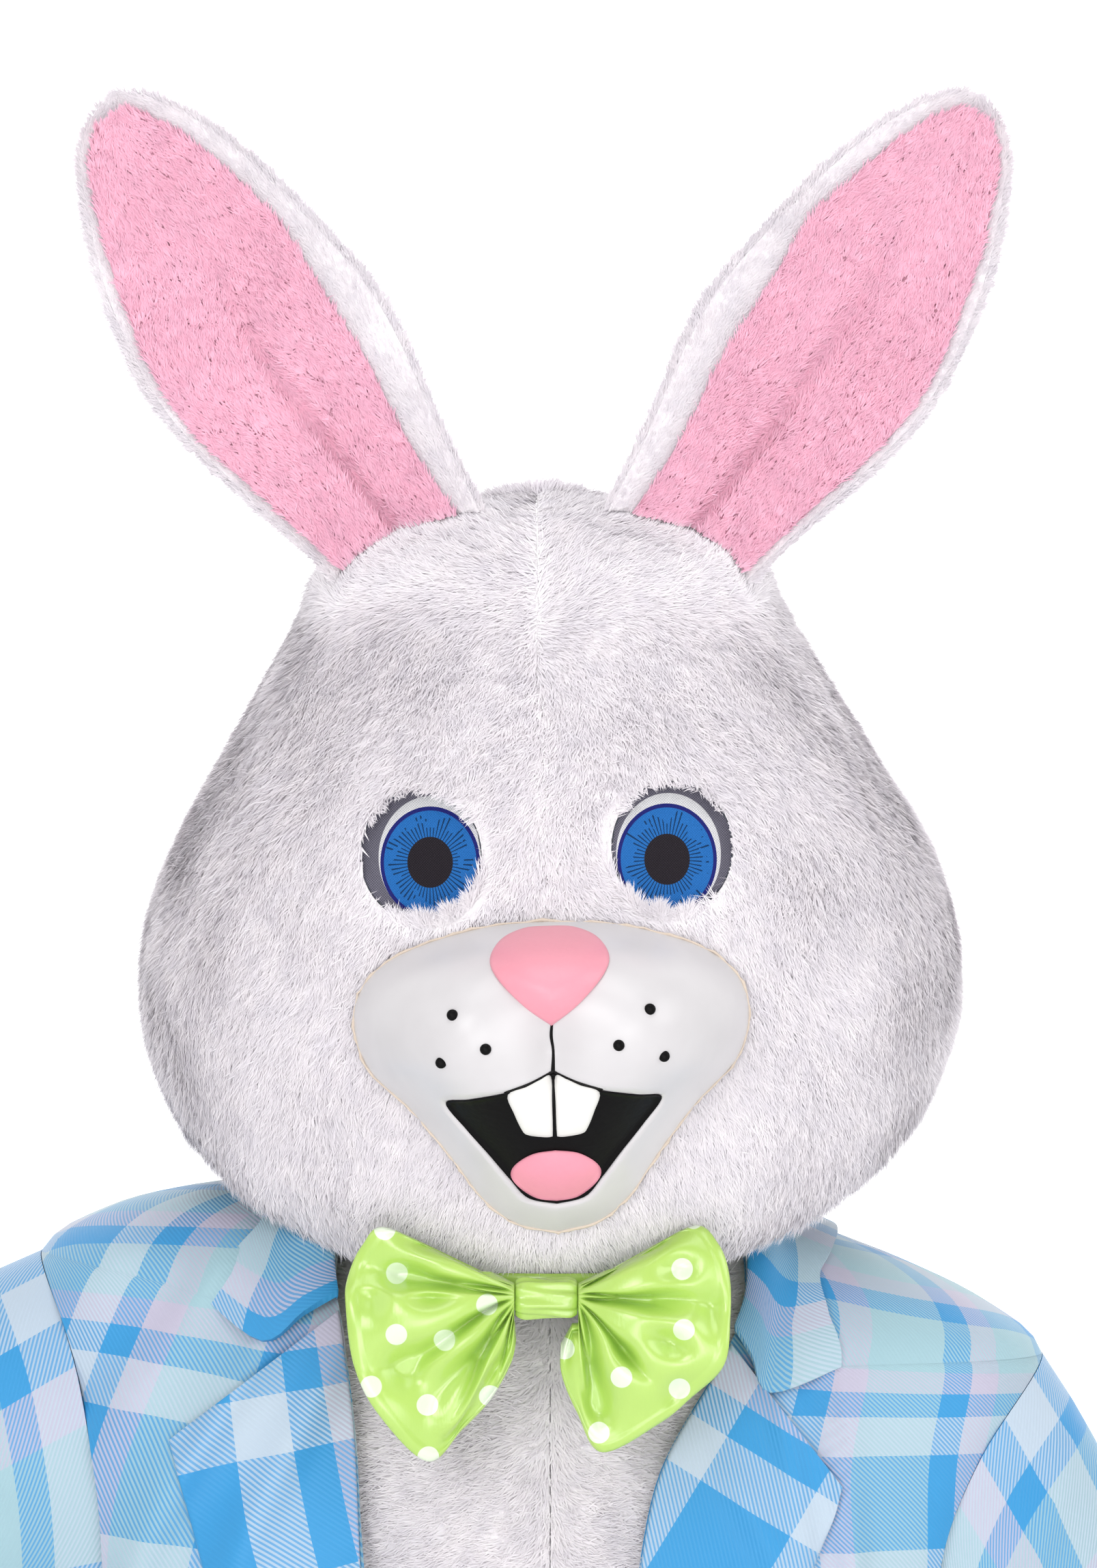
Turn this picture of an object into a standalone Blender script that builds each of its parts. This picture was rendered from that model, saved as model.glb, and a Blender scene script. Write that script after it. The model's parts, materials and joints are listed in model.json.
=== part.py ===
"""A rabbit mascot costume, filled out as it is worn: hollow plush head with a formed muzzle,
satin bow tie, plaid blazer with notch lapels, and the fur bodysuit under it.

Metres, +Z up. The costume faces -Y, and +X is the viewer's right. The origin is on the
wearer's shoulders, at the middle of the base of the neck.
"""
import math

import bmesh
import bpy
import numpy as np
from mathutils import Vector
from mathutils.bvhtree import BVHTree

# ---------------------------------------------------------------- driving sizes, metres
GAP = 0.0004             # clear gap at a seam, shared by the two pieces
REST_GAP = 0.0008        # clear gap under a piece that lies on another

HEAD_Y = -0.020          # middle of the head, between face and nape
HEAD_WALL = 0.014        # foam shell and fur pile together
HEAD_TILT = math.radians(1.7)
TILT_HEIGHT = 0.120      # the head leans over about this height
RIM_LIFT = 0.060         # the neck rim rises this much over the shoulders
NAPE_DROP = 0.45         # share of that rise which the nape gives back

EYE_X, EYE_Z = 0.0575, 0.1780
EYE_WIDE, EYE_TALL = 0.0280, 0.0305
EYE_DEPTH = 0.0065       # the mesh lies this far behind the fur
EYE_THICK = 0.0025

MUZZLE_Z = 0.088         # point that the muzzle's rings shrink to
MUZZLE_WALL = 0.0028
MUZZLE_HOLE = 0.90       # the opening behind the muzzle, as a share of its outline
MOUTH_DEPTH = 0.006

EAR_X = -0.003           # the ears stand to each side of this line
EAR_FOOT = (0.0600, -0.066, 0.3060)
EAR_TIP = (0.2030, -0.030, 0.5330)
EAR_CUP = 0.013          # the ear's edges come forward by this much
EAR_WALL = 0.012
PINK_WALL = 0.0045

BODY_WALL = 0.010        # plush and its backing
JACKET_WALL = 0.0020
LAPEL_WALL = 0.0030      # cloth, canvas and facing
SECTION_POWER = 2.5      # above 2, a section is boxier than an ellipse
ARMHOLE_Z, ARMHOLE_TALL = -0.138, 0.077
ARMHOLE_WIDE = math.radians(35)
ARMHOLE_STEPS = 20       # points round an armhole, shared by the body and the sleeve
SHOULDER_RAISE = 0.050   # the lifted arm takes the shoulder up by this much
RAISE_SPAN = 0.260       # over this width, from the middle outwards
SHOULDER_PULL = 0.036    # and draws the armhole outwards by this much
PULL_Z, PULL_SPAN = -0.165, 0.085

RAISED_CAP, HANGING_CAP = 0.016, 0.013   # the sleeve heads stand this much fuller
COLLAR_LEFT_TURN = 4.0   # degrees that the raised side's collar leaf is drawn outwards
COLLAR_RIGHT_TURN = -3.2 # and the other side's inwards

BUTTON_RADIUS, BUTTON_THICK = 0.010, 0.0032
BUTTON_X, BUTTON_HEIGHTS = -0.086, (-0.425, -0.535)

BODY_ARM_Z, BODY_ARM_TALL = -0.135, 0.070
BODY_ARM_WIDE = math.radians(30)

# ---------------------------------------------------------------- tables
# Columns: z half front back
HEAD_ROWS = (
    (-0.0145, 0.1200, 0.1290, 0.1480),
    (0.0000, 0.1380, 0.1430, 0.1570),
    (0.0220, 0.1605, 0.1540, 0.1660),
    (0.0450, 0.1745, 0.1600, 0.1720),
    (0.0700, 0.1865, 0.1635, 0.1770),
    (0.0950, 0.1940, 0.1655, 0.1795),
    (0.1200, 0.1955, 0.1670, 0.1825),
    (0.1450, 0.1925, 0.1660, 0.1830),
    (0.1700, 0.1850, 0.1620, 0.1805),
    (0.1950, 0.1730, 0.1555, 0.1750),
    (0.2200, 0.1575, 0.1460, 0.1665),
    (0.2450, 0.1425, 0.1345, 0.1550),
    (0.2700, 0.1285, 0.1215, 0.1415),
    (0.2940, 0.1150, 0.1080, 0.1260),
    (0.3150, 0.1045, 0.0940, 0.1090),
    (0.3320, 0.0770, 0.0700, 0.0800),
    (0.3440, 0.0400, 0.0380, 0.0430),
    (0.3510, 0.0000, 0.0000, 0.0000),
)

# The right half of the muzzle's outline, from the top down.
# Columns: x z
MUZZLE_EDGE = (
    (0.0000, 0.1465),
    (0.0260, 0.1450),
    (0.0520, 0.1392),
    (0.0740, 0.1300),
    (0.0870, 0.1165),
    (0.0900, 0.0995),
    (0.0835, 0.0805),
    (0.0660, 0.0630),
    (0.0535, 0.0480),
    (0.0435, 0.0345),
    (0.0335, 0.0205),
    (0.0190, 0.0090),
    (0.0000, 0.0045),
)
NOSE_EDGE = ((0.0000, 0.1446), (0.0110, 0.1440), (0.0215, 0.1395), (0.0268, 0.1310),
             (0.0235, 0.1220), (0.0120, 0.1095), (0.0000, 0.1005))
MOUTH_EDGE = ((0.0000, 0.0788), (0.0110, 0.0742), (0.0220, 0.0706), (0.0380, 0.0680),
              (0.0488, 0.0663), (0.0400, 0.0540), (0.0300, 0.0420), (0.0213, 0.0310),
              (0.0130, 0.0215), (0.0000, 0.0185))
TOOTH_EDGE = ((0.0010, 0.0770), (0.0110, 0.0735), (0.0216, 0.0700), (0.0190, 0.0600),
              (0.0152, 0.0513), (0.0080, 0.0500), (0.0010, 0.0498))
TONGUE_EDGE = ((0.0000, 0.0436), (0.0100, 0.0422), (0.0180, 0.0375), (0.0205, 0.0322),
               (0.0165, 0.0262), (0.0090, 0.0212), (0.0000, 0.0198))

# Along an ear from its foot to its tip: half-widths on the side towards the other ear
# and away from it, for the fur back and for the pink panel on its front.
EAR_COLUMNS = "along inner outer pink_inner pink_outer"
EAR_ROWS = (
    (0.00, 0.0420, 0.0290, 0.0330, 0.0235),
    (0.06, 0.0440, 0.0325, 0.0315, 0.0270),
    (0.15, 0.0460, 0.0385, 0.0305, 0.0335),
    (0.25, 0.0500, 0.0465, 0.0315, 0.0405),
    (0.35, 0.0545, 0.0545, 0.0345, 0.0485),
    (0.45, 0.0560, 0.0600, 0.0345, 0.0535),
    (0.55, 0.0530, 0.0605, 0.0345, 0.0535),
    (0.65, 0.0475, 0.0570, 0.0345, 0.0490),
    (0.75, 0.0415, 0.0505, 0.0285, 0.0430),
    (0.85, 0.0325, 0.0400, 0.0205, 0.0340),
    (0.92, 0.0230, 0.0320, 0.0120, 0.0260),
    (0.97, 0.0130, 0.0210, 0.0030, 0.0150),
    (1.00, 0.0040, 0.0080, -0.0040, 0.0080),
)

# The blazer's body from the neck down to the hem: half-width, depth to the front and to
# the back, and how far out the two front edges run (roll line above, open edge below).
JACKET_COLUMNS = "z half front back left_edge right_edge"
JACKET_ROWS = (
    (0.016, 0.086, 0.060, 0.084, 0.076, 0.076),
    (0.000, 0.123, 0.074, 0.096, 0.088, 0.088),
    (-0.018, 0.169, 0.088, 0.107, 0.097, 0.091),
    (-0.038, 0.209, 0.102, 0.115, 0.0985, 0.089),
    (-0.062, 0.234, 0.115, 0.121, 0.0930, 0.077),
    (-0.110, 0.228, 0.129, 0.126, 0.0835, 0.050),
    (-0.170, 0.206, 0.139, 0.128, 0.0780, 0.038),
    (-0.230, 0.186, 0.144, 0.126, 0.0760, 0.028),
    (-0.400, 0.180, 0.146, 0.118, 0.0700, 0.012),
    (-0.580, 0.200, 0.152, 0.132, 0.0760, 0.018),
    (-0.740, 0.214, 0.156, 0.142, 0.0880, 0.032),
)

# Lapel stations from the gorge to the break: heights of the roll edge and of the outer
# edge, and how far the lapel reaches out from the roll on each front.
# Columns: roll_z left_edge_z right_edge_z left_width right_width
LAPEL_ROWS = (
    (-0.0505, -0.1205, -0.1155, 0.0620, 0.0510),
    (-0.0740, -0.1420, -0.1370, 0.0575, 0.0580),
    (-0.1120, -0.1760, -0.1740, 0.0540, 0.0635),
    (-0.1680, -0.2300, -0.2300, 0.0470, 0.0600),
    (-0.2400, -0.2940, -0.2940, 0.0370, 0.0480),
    (-0.3200, -0.3580, -0.3580, 0.0220, 0.0280),
    (-0.3980, -0.4080, -0.4080, 0.0060, 0.0060),
)

# Collar stations from the gorge to the back of the neck: where its foot lies (row of the
# front's edge, then degrees round the neck), the height of its fold over the foot, and the
# places on the body (degrees from the front, row) of the leaf's middle and outer edge.
# Columns: foot_row foot_turn fold mid_turn mid_row edge_turn edge_row
COLLAR_ROWS = (
    (3.45, 0, 0.0030, 23.5, 4.30, 33.0, 4.02),
    (2.70, 0, 0.0060, 26.0, 3.30, 35.0, 3.05),
    (1.70, 0, 0.0110, 36.0, 2.10, 41.0, 2.25),
    (0.80, 0, 0.0160, 50.0, 1.20, 54.0, 1.72),
    (0.00, 66, 0.0200, 69.0, 0.72, 70.0, 1.40),
    (0.00, 88, 0.0230, 88.0, 0.62, 88.0, 1.26),
    (0.00, 115, 0.0260, 115.0, 0.62, 115.0, 1.24),
    (0.00, 148, 0.0280, 148.0, 0.70, 148.0, 1.32),
    (0.00, 180, 0.0290, 180.0, 0.76, 180.0, 1.38),
)

# Sleeve sections: middle, lean of the arm (degrees from hanging), half-widths across the
# arm and from front to back.
# Columns: x y z lean half_out half_deep
HANGING_SLEEVE = (
    (0.2400, 0.000, -0.222, 8, 0.0500, 0.0700),
    (0.2500, 0.002, -0.300, 8, 0.0520, 0.0680),
    (0.2640, -0.004, -0.400, 8, 0.0530, 0.0640),
    (0.2740, -0.022, -0.500, 6, 0.0500, 0.0600),
    (0.2800, -0.046, -0.610, 3, 0.0480, 0.0570),
)
RAISED_SLEEVE = (
    (0.3020, 0.000, -0.152, 47, 0.0600, 0.0700),
    (0.3600, 0.000, -0.206, 46, 0.0590, 0.0680),
    (0.4300, -0.010, -0.282, 38, 0.0580, 0.0650),
    (0.4780, -0.035, -0.385, 20, 0.0530, 0.0610),
    (0.5000, -0.070, -0.490, 8, 0.0490, 0.0570),
)

# Columns: z half front back
BODY_ROWS = (
    (0.003, 0.072, 0.056, 0.066),
    (-0.0002, 0.109, 0.0685, 0.084),
    (-0.0162, 0.151, 0.0845, 0.098),
    (-0.0455, 0.1865, 0.1005, 0.107),
    (-0.120, 0.186, 0.117, 0.110),
    (-0.190, 0.172, 0.124, 0.112),
    (-0.280, 0.165, 0.126, 0.108),
    (-0.400, 0.160, 0.125, 0.101),
    (-0.550, 0.174, 0.128, 0.110),
    (-0.680, 0.186, 0.130, 0.118),
    (-0.760, 0.188, 0.128, 0.118),
)
# Columns: z x half front back
LEG_ROWS = (
    (-0.7605, 0.0945, 0.0935, 0.1270, 0.1170),
    (-0.8300, 0.0980, 0.0930, 0.1180, 0.1120),
    (-0.9500, 0.1030, 0.0900, 0.1060, 0.1040),
    (-1.1000, 0.1070, 0.0850, 0.0960, 0.0980),
    (-1.2500, 0.1090, 0.0820, 0.0920, 0.0950),
    (-1.3800, 0.1100, 0.0850, 0.0950, 0.0980),
)

# Large folds in the blazer, as seen from the front: from one end to the other, half-width
# and height (a trough where it is negative).
# Columns: x1 z1 x2 z2 width height
FRONT_FOLDS = (
    (-0.110, -0.060, -0.235, -0.250, 0.020, 0.0060),
    (-0.150, -0.050, -0.225, -0.160, 0.014, -0.0050),
    (-0.185, -0.030, -0.240, -0.120, 0.012, 0.0045),
    (-0.130, -0.200, -0.180, -0.420, 0.022, 0.0050),
    (0.190, -0.110, 0.150, -0.330, 0.018, 0.0045),
    (0.215, -0.090, 0.200, -0.200, 0.012, -0.0040),
    (0.120, -0.420, 0.080, -0.640, 0.024, 0.0050),
)

# Each lobe of the bow: its free edge from the top of the knot round to the bottom.
# Columns: x z
RIGHT_LOBE = ((0.0250, -0.0135), (0.0400, -0.0080), (0.0655, 0.0070), (0.0770, -0.0015),
              (0.0818, -0.0160), (0.0820, -0.0350), (0.0790, -0.0560), (0.0640, -0.0715),
              (0.0500, -0.0830), (0.0235, -0.0965), (0.0120, -0.0780), (0.0050, -0.0600),
              (0.0048, -0.0470))
LEFT_LOBE = ((-0.0270, -0.0140), (-0.0410, -0.0110), (-0.0745, 0.0065), (-0.0860, -0.0020),
             (-0.0925, -0.0165), (-0.0932, -0.0290), (-0.0895, -0.0560), (-0.0785, -0.0780),
             (-0.0560, -0.1005), (-0.0400, -0.0860), (-0.0270, -0.0720), (-0.0180, -0.0560),
             (-0.0155, -0.0450))
KNOT_X, KNOT_Y, KNOT_Z = -0.0018, -0.1580, -0.0262
KNOT_WIDE, KNOT_TALL, KNOT_THICK = 0.0284, 0.0205, 0.0165
KNOT_WAIST = 0.12        # the knot is drawn in at its middle by this share
BOW_Y = -0.1540          # the back of the lobes
BOW_SWEEP = 0.10         # the lobes come forward away from the knot by this slope
BOW_PUFF = 0.0190        # the satin stands out this much at most
BOW_HEM = 0.0030
PLEATS = 6
PLEAT_DEPTH = 0.24       # share of the puff that a pleat takes away
BAND_HALF, BAND_Y = 0.0742, -0.0350
BAND_FRONT, BAND_BACK = 0.1154, 0.1060
BAND_LOW, BAND_HIGH = -0.0241, 0.0122
BAND_WALL, BAND_TALL = 0.0016, 0.0170
BAND_RISE, BAND_SPREAD = 30.0, 42.0      # degrees from the knot over which the band climbs

COLOURS = {
    "white_fur": (0.83, 0.79, 0.83, 0.9), "pink_fur": (0.97, 0.50, 0.68, 0.9),
    "formed_white": (0.84, 0.80, 0.77, 0.35), "nose_pink": (1.0, 0.51, 0.62, 0.3),
    "black": (0.01, 0.01, 0.01, 0.4), "eye_blue": (0.03, 0.13, 0.40, 0.6),
    "green_satin": (0.55, 0.81, 0.25, 0.3), "blue_plaid": (0.30, 0.60, 0.86, 0.8),
    "button_blue": (0.10, 0.35, 0.70, 0.35),
}


# ---------------------------------------------------------------- reading tables
def smooth(rows, at):
    """A smooth curve through a table's rows, read at fractional row numbers."""
    rows = np.asarray(rows, float)
    last = len(rows) - 1
    at = np.clip(np.asarray(at, float), 0, last)
    start = np.minimum(at.astype(int), last - 1)
    part = (at - start)[..., None]
    before, here = rows[np.maximum(start - 1, 0)], rows[start]
    there, after = rows[start + 1], rows[np.minimum(start + 2, last)]
    return here + 0.5 * part * (
        there - before + part * (
            2 * before - 5 * here + 4 * there - after
            + part * (3 * (here - there) + after - before)))


def row_at(rows, z):
    """The fractional row whose first column is z."""
    at = np.linspace(0, len(rows) - 1, 40 * len(rows))
    heights = smooth(rows, at)[:, 0]
    order = np.argsort(heights)
    return np.interp(z, heights[order], at[order])


def smoothstep(value):
    value = np.clip(value, 0, 1)
    return value * value * (3 - 2 * value)


def power(value, exponent):
    return np.sign(value) * np.abs(value) ** exponent


def closed_outline(half, count):
    """A symmetric outline of `count` points, smooth through the right half's points."""
    right = smooth(half, np.linspace(0, len(half) - 1, count // 2 + 1))
    left = right[1:-1][::-1] * (-1, 1)
    return np.vstack((right, left))


def ring_outline(points, count):
    """A closed outline of `count` points, smooth through all the given points."""
    points = np.asarray(points, float)
    looped = np.vstack((points[-1:], points, points[:2]))
    return smooth(looped, 1 + np.linspace(0, len(points), count, endpoint=False))


# ---------------------------------------------------------------- making solids
def material(name):
    """A plain finish: its colour and roughness."""
    finish = bpy.data.materials.get(name)
    if finish is None:
        red, green, blue, rough = COLOURS[name]
        finish = bpy.data.materials.new(name)
        finish.use_nodes = True
        shader = finish.node_tree.nodes["Principled BSDF"]
        shader.inputs["Base Color"].default_value = (red, green, blue, 1)
        shader.inputs["Roughness"].default_value = rough
        shader.inputs["Metallic"].default_value = 0
    return finish


def solid(name, points, faces, finish):
    """A named object from points and faces, closed, with its faces turned outwards."""
    mesh = bpy.data.meshes.new(name)
    mesh.from_pydata([tuple(p) for p in np.asarray(points, float)], [], faces)
    work = bmesh.new()
    work.from_mesh(mesh)
    bmesh.ops.remove_doubles(work, verts=work.verts, dist=0.00002)
    bmesh.ops.dissolve_degenerate(work, dist=0.00001, edges=work.edges)
    bmesh.ops.recalc_face_normals(work, faces=work.faces)
    if work.calc_volume(signed=True) < 0:
        bmesh.ops.reverse_faces(work, faces=work.faces)
    work.to_mesh(mesh)
    work.free()
    mesh.shade_smooth()
    mesh.set_sharp_from_angle(angle=math.radians(40))
    mesh.materials.append(material(finish))
    piece = bpy.data.objects.new(name, mesh)
    bpy.context.collection.objects.link(piece)
    return piece


def grid_faces(rows, columns, wrap, start=0):
    """Quads of a grid of points that is stored row by row."""
    faces = []
    for row in range(rows - 1):
        for column in range(columns if wrap else columns - 1):
            beside = (column + 1) % columns
            faces.append((start + row * columns + column, start + row * columns + beside,
                          start + (row + 1) * columns + beside, start + (row + 1) * columns + column))
    return faces


def walled(name, outer, inner, finish, wrap=False):
    """A wall between two grids of points, closed along all its free edges."""
    rows, columns = outer.shape[:2]
    count = rows * columns
    faces = grid_faces(rows, columns, wrap)
    faces += [tuple(reversed(face)) for face in grid_faces(rows, columns, wrap, count)]
    for row, turn in ((0, 1), (rows - 1, -1)):
        for column in range(columns if wrap else columns - 1):
            here = row * columns + column
            beside = row * columns + (column + 1) % columns
            faces.append((here, here + count, beside + count, beside)[::turn])
    if not wrap:
        for column, turn in ((0, -1), (columns - 1, 1)):
            for row in range(rows - 1):
                here = row * columns + column
                below = here + columns
                faces.append((here, here + count, below + count, below)[::turn])
    points = np.vstack((outer.reshape(-1, 3), inner.reshape(-1, 3)))
    return solid(name, points, faces, finish)


def grid_normals(points, wrap):
    """Unit normals of a grid of points, from its neighbours along and across."""
    if wrap:
        across = np.roll(points, -1, axis=1) - np.roll(points, 1, axis=1)
    else:
        across = np.gradient(points, axis=1)
    along = np.gradient(points, axis=0)
    normal = np.cross(across, along)
    size = np.linalg.norm(normal, axis=2, keepdims=True)
    return normal / np.maximum(size, 1e-12)


def away_from(normals, points, middle):
    """Turn normals so that they point away from a middle line."""
    facing = np.sum(normals * (points - middle), axis=2, keepdims=True)
    return np.where(facing < 0, -normals, normals)


def patch(name, outline, middle, front_y, rise, finish, rings, back=REST_GAP):
    """A piece lying on a surface: rings shrink from its outline to its middle, its back
    follows the surface and its front stands out by rise(ring), ring 0 being the edge."""
    shares = np.linspace(1, 0, rings + 1)[:-1]
    middle = np.asarray(middle, float)
    flat = np.array([middle + share * (outline - middle) for share in shares])
    surface = np.array([[front_y(x, z) for x, z in ring] for ring in flat])
    crown = front_y(middle[0], middle[1])
    count = len(outline)
    points, faces = [], []
    for side, offset in (("front", [back + rise(1 - s) for s in shares]), ("back", [back] * rings)):
        for ring in range(rings):
            for (x, z), y in zip(flat[ring], surface[ring]):
                points.append((x, y - offset[ring], z))
    points.append((middle[0], crown - back - rise(1.0), middle[1]))
    points.append((middle[0], crown - back, middle[1]))
    back_start = rings * count
    faces += grid_faces(rings, count, True)
    faces += [tuple(reversed(face)) for face in grid_faces(rings, count, True, back_start)]
    last = (rings - 1) * count
    for column in range(count):
        beside = (column + 1) % count
        faces.append((last + column, last + beside, 2 * back_start))
        faces.append((back_start + last + beside, back_start + last + column, 2 * back_start + 1))
        faces.append((column, back_start + column, back_start + beside, beside))
    return solid(name, points, faces, finish)


def swept(name, rings, finish, closed=False):
    """A bar from rings of points: capped at its ends, or closed on itself."""
    rings = np.asarray(rings, float)
    rows, count = rings.shape[:2]
    faces = grid_faces(rows, count, True)
    if closed:
        last = (rows - 1) * count
        faces += [(last + k, last + (k + 1) % count, (k + 1) % count, k) for k in range(count)]
    else:
        faces.append(tuple(range(count))[::-1])
        faces.append(tuple(range((rows - 1) * count, rows * count)))
    return solid(name, rings.reshape(-1, 3), faces, finish)


def surface_of(piece):
    """A function giving the front (lowest y) of a finished piece at x, z."""
    work = bmesh.new()
    work.from_mesh(piece.data)
    tree = BVHTree.FromBMesh(work)
    work.free()

    def front_y(x, z):
        hit = tree.ray_cast(Vector((x, -1.0, z)), Vector((0, 1, 0)))[0]
        return hit.y if hit else None
    return front_y


def moved(piece, change):
    """Apply a change of position to every point of a finished piece."""
    for vertex in piece.data.vertices:
        vertex.co = Vector(change(np.array([vertex.co], float))[0])
    piece.data.update()
    return piece


# ---------------------------------------------------------------- head
def tilted(points):
    """The head's lean to one side."""
    points = np.array(points, float)
    x, z = points[..., 0].copy(), points[..., 2] - TILT_HEIGHT
    points[..., 0] = x * math.cos(HEAD_TILT) - z * math.sin(HEAD_TILT)
    points[..., 2] = TILT_HEIGHT + x * math.sin(HEAD_TILT) + z * math.cos(HEAD_TILT)
    return points


def head_surface(angle, row, extra=0.0):
    """The fur's outer surface; angle 0 is the face, and positive turns to +X."""
    z, half, front, back = np.moveaxis(smooth(HEAD_ROWS, row), -1, 0)
    depth = np.where(np.cos(angle) > 0, front, back) + extra
    return np.stack(((half + extra) * np.sin(angle), HEAD_Y - depth * np.cos(angle),
                     np.broadcast_to(z, depth.shape)), -1)


def neck_rim(angle):
    """The row where the head is cut off: low under the chin, high over the shoulders."""
    rise = np.where(np.cos(angle) > 0, np.sin(angle) ** 8, 1 - NAPE_DROP * np.cos(angle) ** 2)
    return row_at(HEAD_ROWS, HEAD_ROWS[0][0] + RIM_LIFT * rise)


def face_y(x, z):
    """Where the face's fur lies at x, z."""
    z_, half, front, back = np.moveaxis(smooth(HEAD_ROWS, row_at(HEAD_ROWS, z)), -1, 0)
    return HEAD_Y - front * np.sqrt(np.maximum(1 - (x / half) ** 2, 0))


def cheek_seam(angle):
    """The row of the seam between crown and cheek, which climbs towards the side."""
    return row_at(HEAD_ROWS, 0.136 + 0.046 * np.sin(angle) ** 2)


def head_panel(name, first, last, low, high, levels):
    """One fur panel between two angles and between two rows that may vary with angle."""
    angles = np.linspace(first, last, 10)
    share = np.linspace(0, 1, levels)[:, None]
    row = low(angles)[None, :] + share * (high(angles) - low(angles))[None, :]
    angle = np.broadcast_to(angles, row.shape)
    outer = head_surface(angle, row)
    turn, climb = 0.01, 0.05
    around = head_surface(angle + turn, row) - head_surface(angle - turn, row)
    near_pole = np.minimum(row, len(HEAD_ROWS) - 1.3)
    upward = head_surface(angle, near_pole + climb) - head_surface(angle, near_pole - climb)
    normal = np.cross(around, upward)
    size = np.linalg.norm(normal, axis=2, keepdims=True)
    normal = np.where(size > 1e-9, normal / np.maximum(size, 1e-12), (0, 0, 1))
    normal = away_from(normal, outer, np.array((0, HEAD_Y, 0.15)))
    pole = row > len(HEAD_ROWS) - 1.001
    normal[pole] = (0, 0, 1)
    inner = outer - HEAD_WALL * normal
    side = 1 if (first + last) > 0 else -1
    nape = abs(first + last) > math.pi
    for wall in (outer, inner):
        wall[..., 0] = side * np.maximum(side * wall[..., 0], GAP / 2)
        if nape:
            wall[..., 1] = np.maximum(wall[..., 1], HEAD_Y + GAP / 2)
        else:
            wall[..., 1] = np.minimum(wall[..., 1], HEAD_Y - GAP / 2)
    return walled(name, tilted(outer), tilted(inner), "white_fur")


def cutter(name, outline, near, far):
    """A prism along Y that cuts a hole and isn't part of the costume."""
    count = len(outline)
    points = [(x, y, z) for y in (near, far) for x, z in outline]
    faces = [tuple(range(count)), tuple(range(count, 2 * count))[::-1]]
    faces += [(k, k + count, (k + 1) % count + count, (k + 1) % count) for k in range(count)]
    tool = solid(name, tilted(points), faces, "white_fur")
    tool.hide_render = True
    tool.display_type = "WIRE"
    return tool


def cut(piece, tool):
    boolean = piece.modifiers.new(tool.name, "BOOLEAN")
    boolean.operation = "DIFFERENCE"
    boolean.object = tool


def eye_outline(side, margin, count=20):
    turn = np.linspace(0, 2 * math.pi, count, endpoint=False)
    return np.stack((side * EYE_X + (EYE_WIDE - margin) * np.cos(turn),
                     EYE_Z + (EYE_TALL - margin) * np.sin(turn)), -1)


def make_head():
    """Six fur panels, sewn at the middle, the sides and across each cheek."""
    top = len(HEAD_ROWS) - 1
    half_turn = math.pi / 2

    def crown_top(angle):
        return np.full_like(angle, top)

    def under_seam(angle):
        return cheek_seam(angle) - 0.008

    def over_seam(angle):
        return cheek_seam(angle) + 0.008

    hole = np.array((0, MUZZLE_Z)) + MUZZLE_HOLE * (
        closed_outline(MUZZLE_EDGE, 36) - np.array((0, MUZZLE_Z)))
    mouth_tool = cutter("muzzle_cutter", hole, -0.30, HEAD_Y - 0.06)
    for side, word in ((-1, "left"), (1, "right")):
        eye_tool = cutter("eye_cutter_" + word, eye_outline(side, 0), -0.30, HEAD_Y - 0.06)
        first, last = sorted((0, side * half_turn))
        crown = head_panel("head_crown_" + word, first, last, over_seam, crown_top, 12)
        cheek = head_panel("head_cheek_" + word, first, last, neck_rim, under_seam, 9)
        for panel in (crown, cheek):
            cut(panel, eye_tool)
            cut(panel, mouth_tool)
        first, last = sorted((side * half_turn, side * 2 * half_turn))
        head_panel("head_back_" + word, first, last, neck_rim, crown_top, 16)


def make_eyes():
    """Printed mesh ovals, set in their holes a little behind the fur."""
    for side, word in ((-1, "left"), (1, "right")):
        eye = patch("eye_" + word, eye_outline(side, 0.0004), (side * EYE_X, EYE_Z),
                    lambda x, z: float(face_y(x, z)) + EYE_DEPTH + EYE_THICK + REST_GAP,
                    lambda inside: EYE_THICK, "eye_blue", 2)
        moved(eye, tilted)


# ---------------------------------------------------------------- muzzle
def edge_distance(x, z, edge):
    """Distance to an outline, positive inside it."""
    point = np.array((abs(x), z))
    start = np.asarray(edge)
    run = np.roll(start, -1, axis=0) - start
    share = np.clip(np.sum((point - start) * run, axis=1) / np.sum(run * run, axis=1), 0, 1)
    nearest = np.min(np.linalg.norm(start + share[:, None] * run - point, axis=1)[:-1])
    polar = np.arctan2(start[:, 0], start[:, 1] - MOUTH_MIDDLE)
    reach = np.hypot(start[:, 0], start[:, 1] - MOUTH_MIDDLE)
    angle = math.atan2(abs(x), z - MOUTH_MIDDLE)
    inside = math.hypot(x, z - MOUTH_MIDDLE) < np.interp(angle, polar, reach)
    return nearest if inside else -nearest


MOUTH_MIDDLE = 0.050     # a height from which the whole mouth outline is seen
NOSE_MIDDLE = 0.1255


def muzzle_reach():
    """Table of the muzzle outline's distance from its middle, by direction."""
    outline = closed_outline(MUZZLE_EDGE, 120)
    angle = np.arctan2(outline[:, 0], outline[:, 1] - MUZZLE_Z)
    order = np.argsort(angle)
    return angle[order], np.hypot(outline[:, 0], outline[:, 1] - MUZZLE_Z)[order]


MUZZLE_REACH = muzzle_reach()


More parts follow.
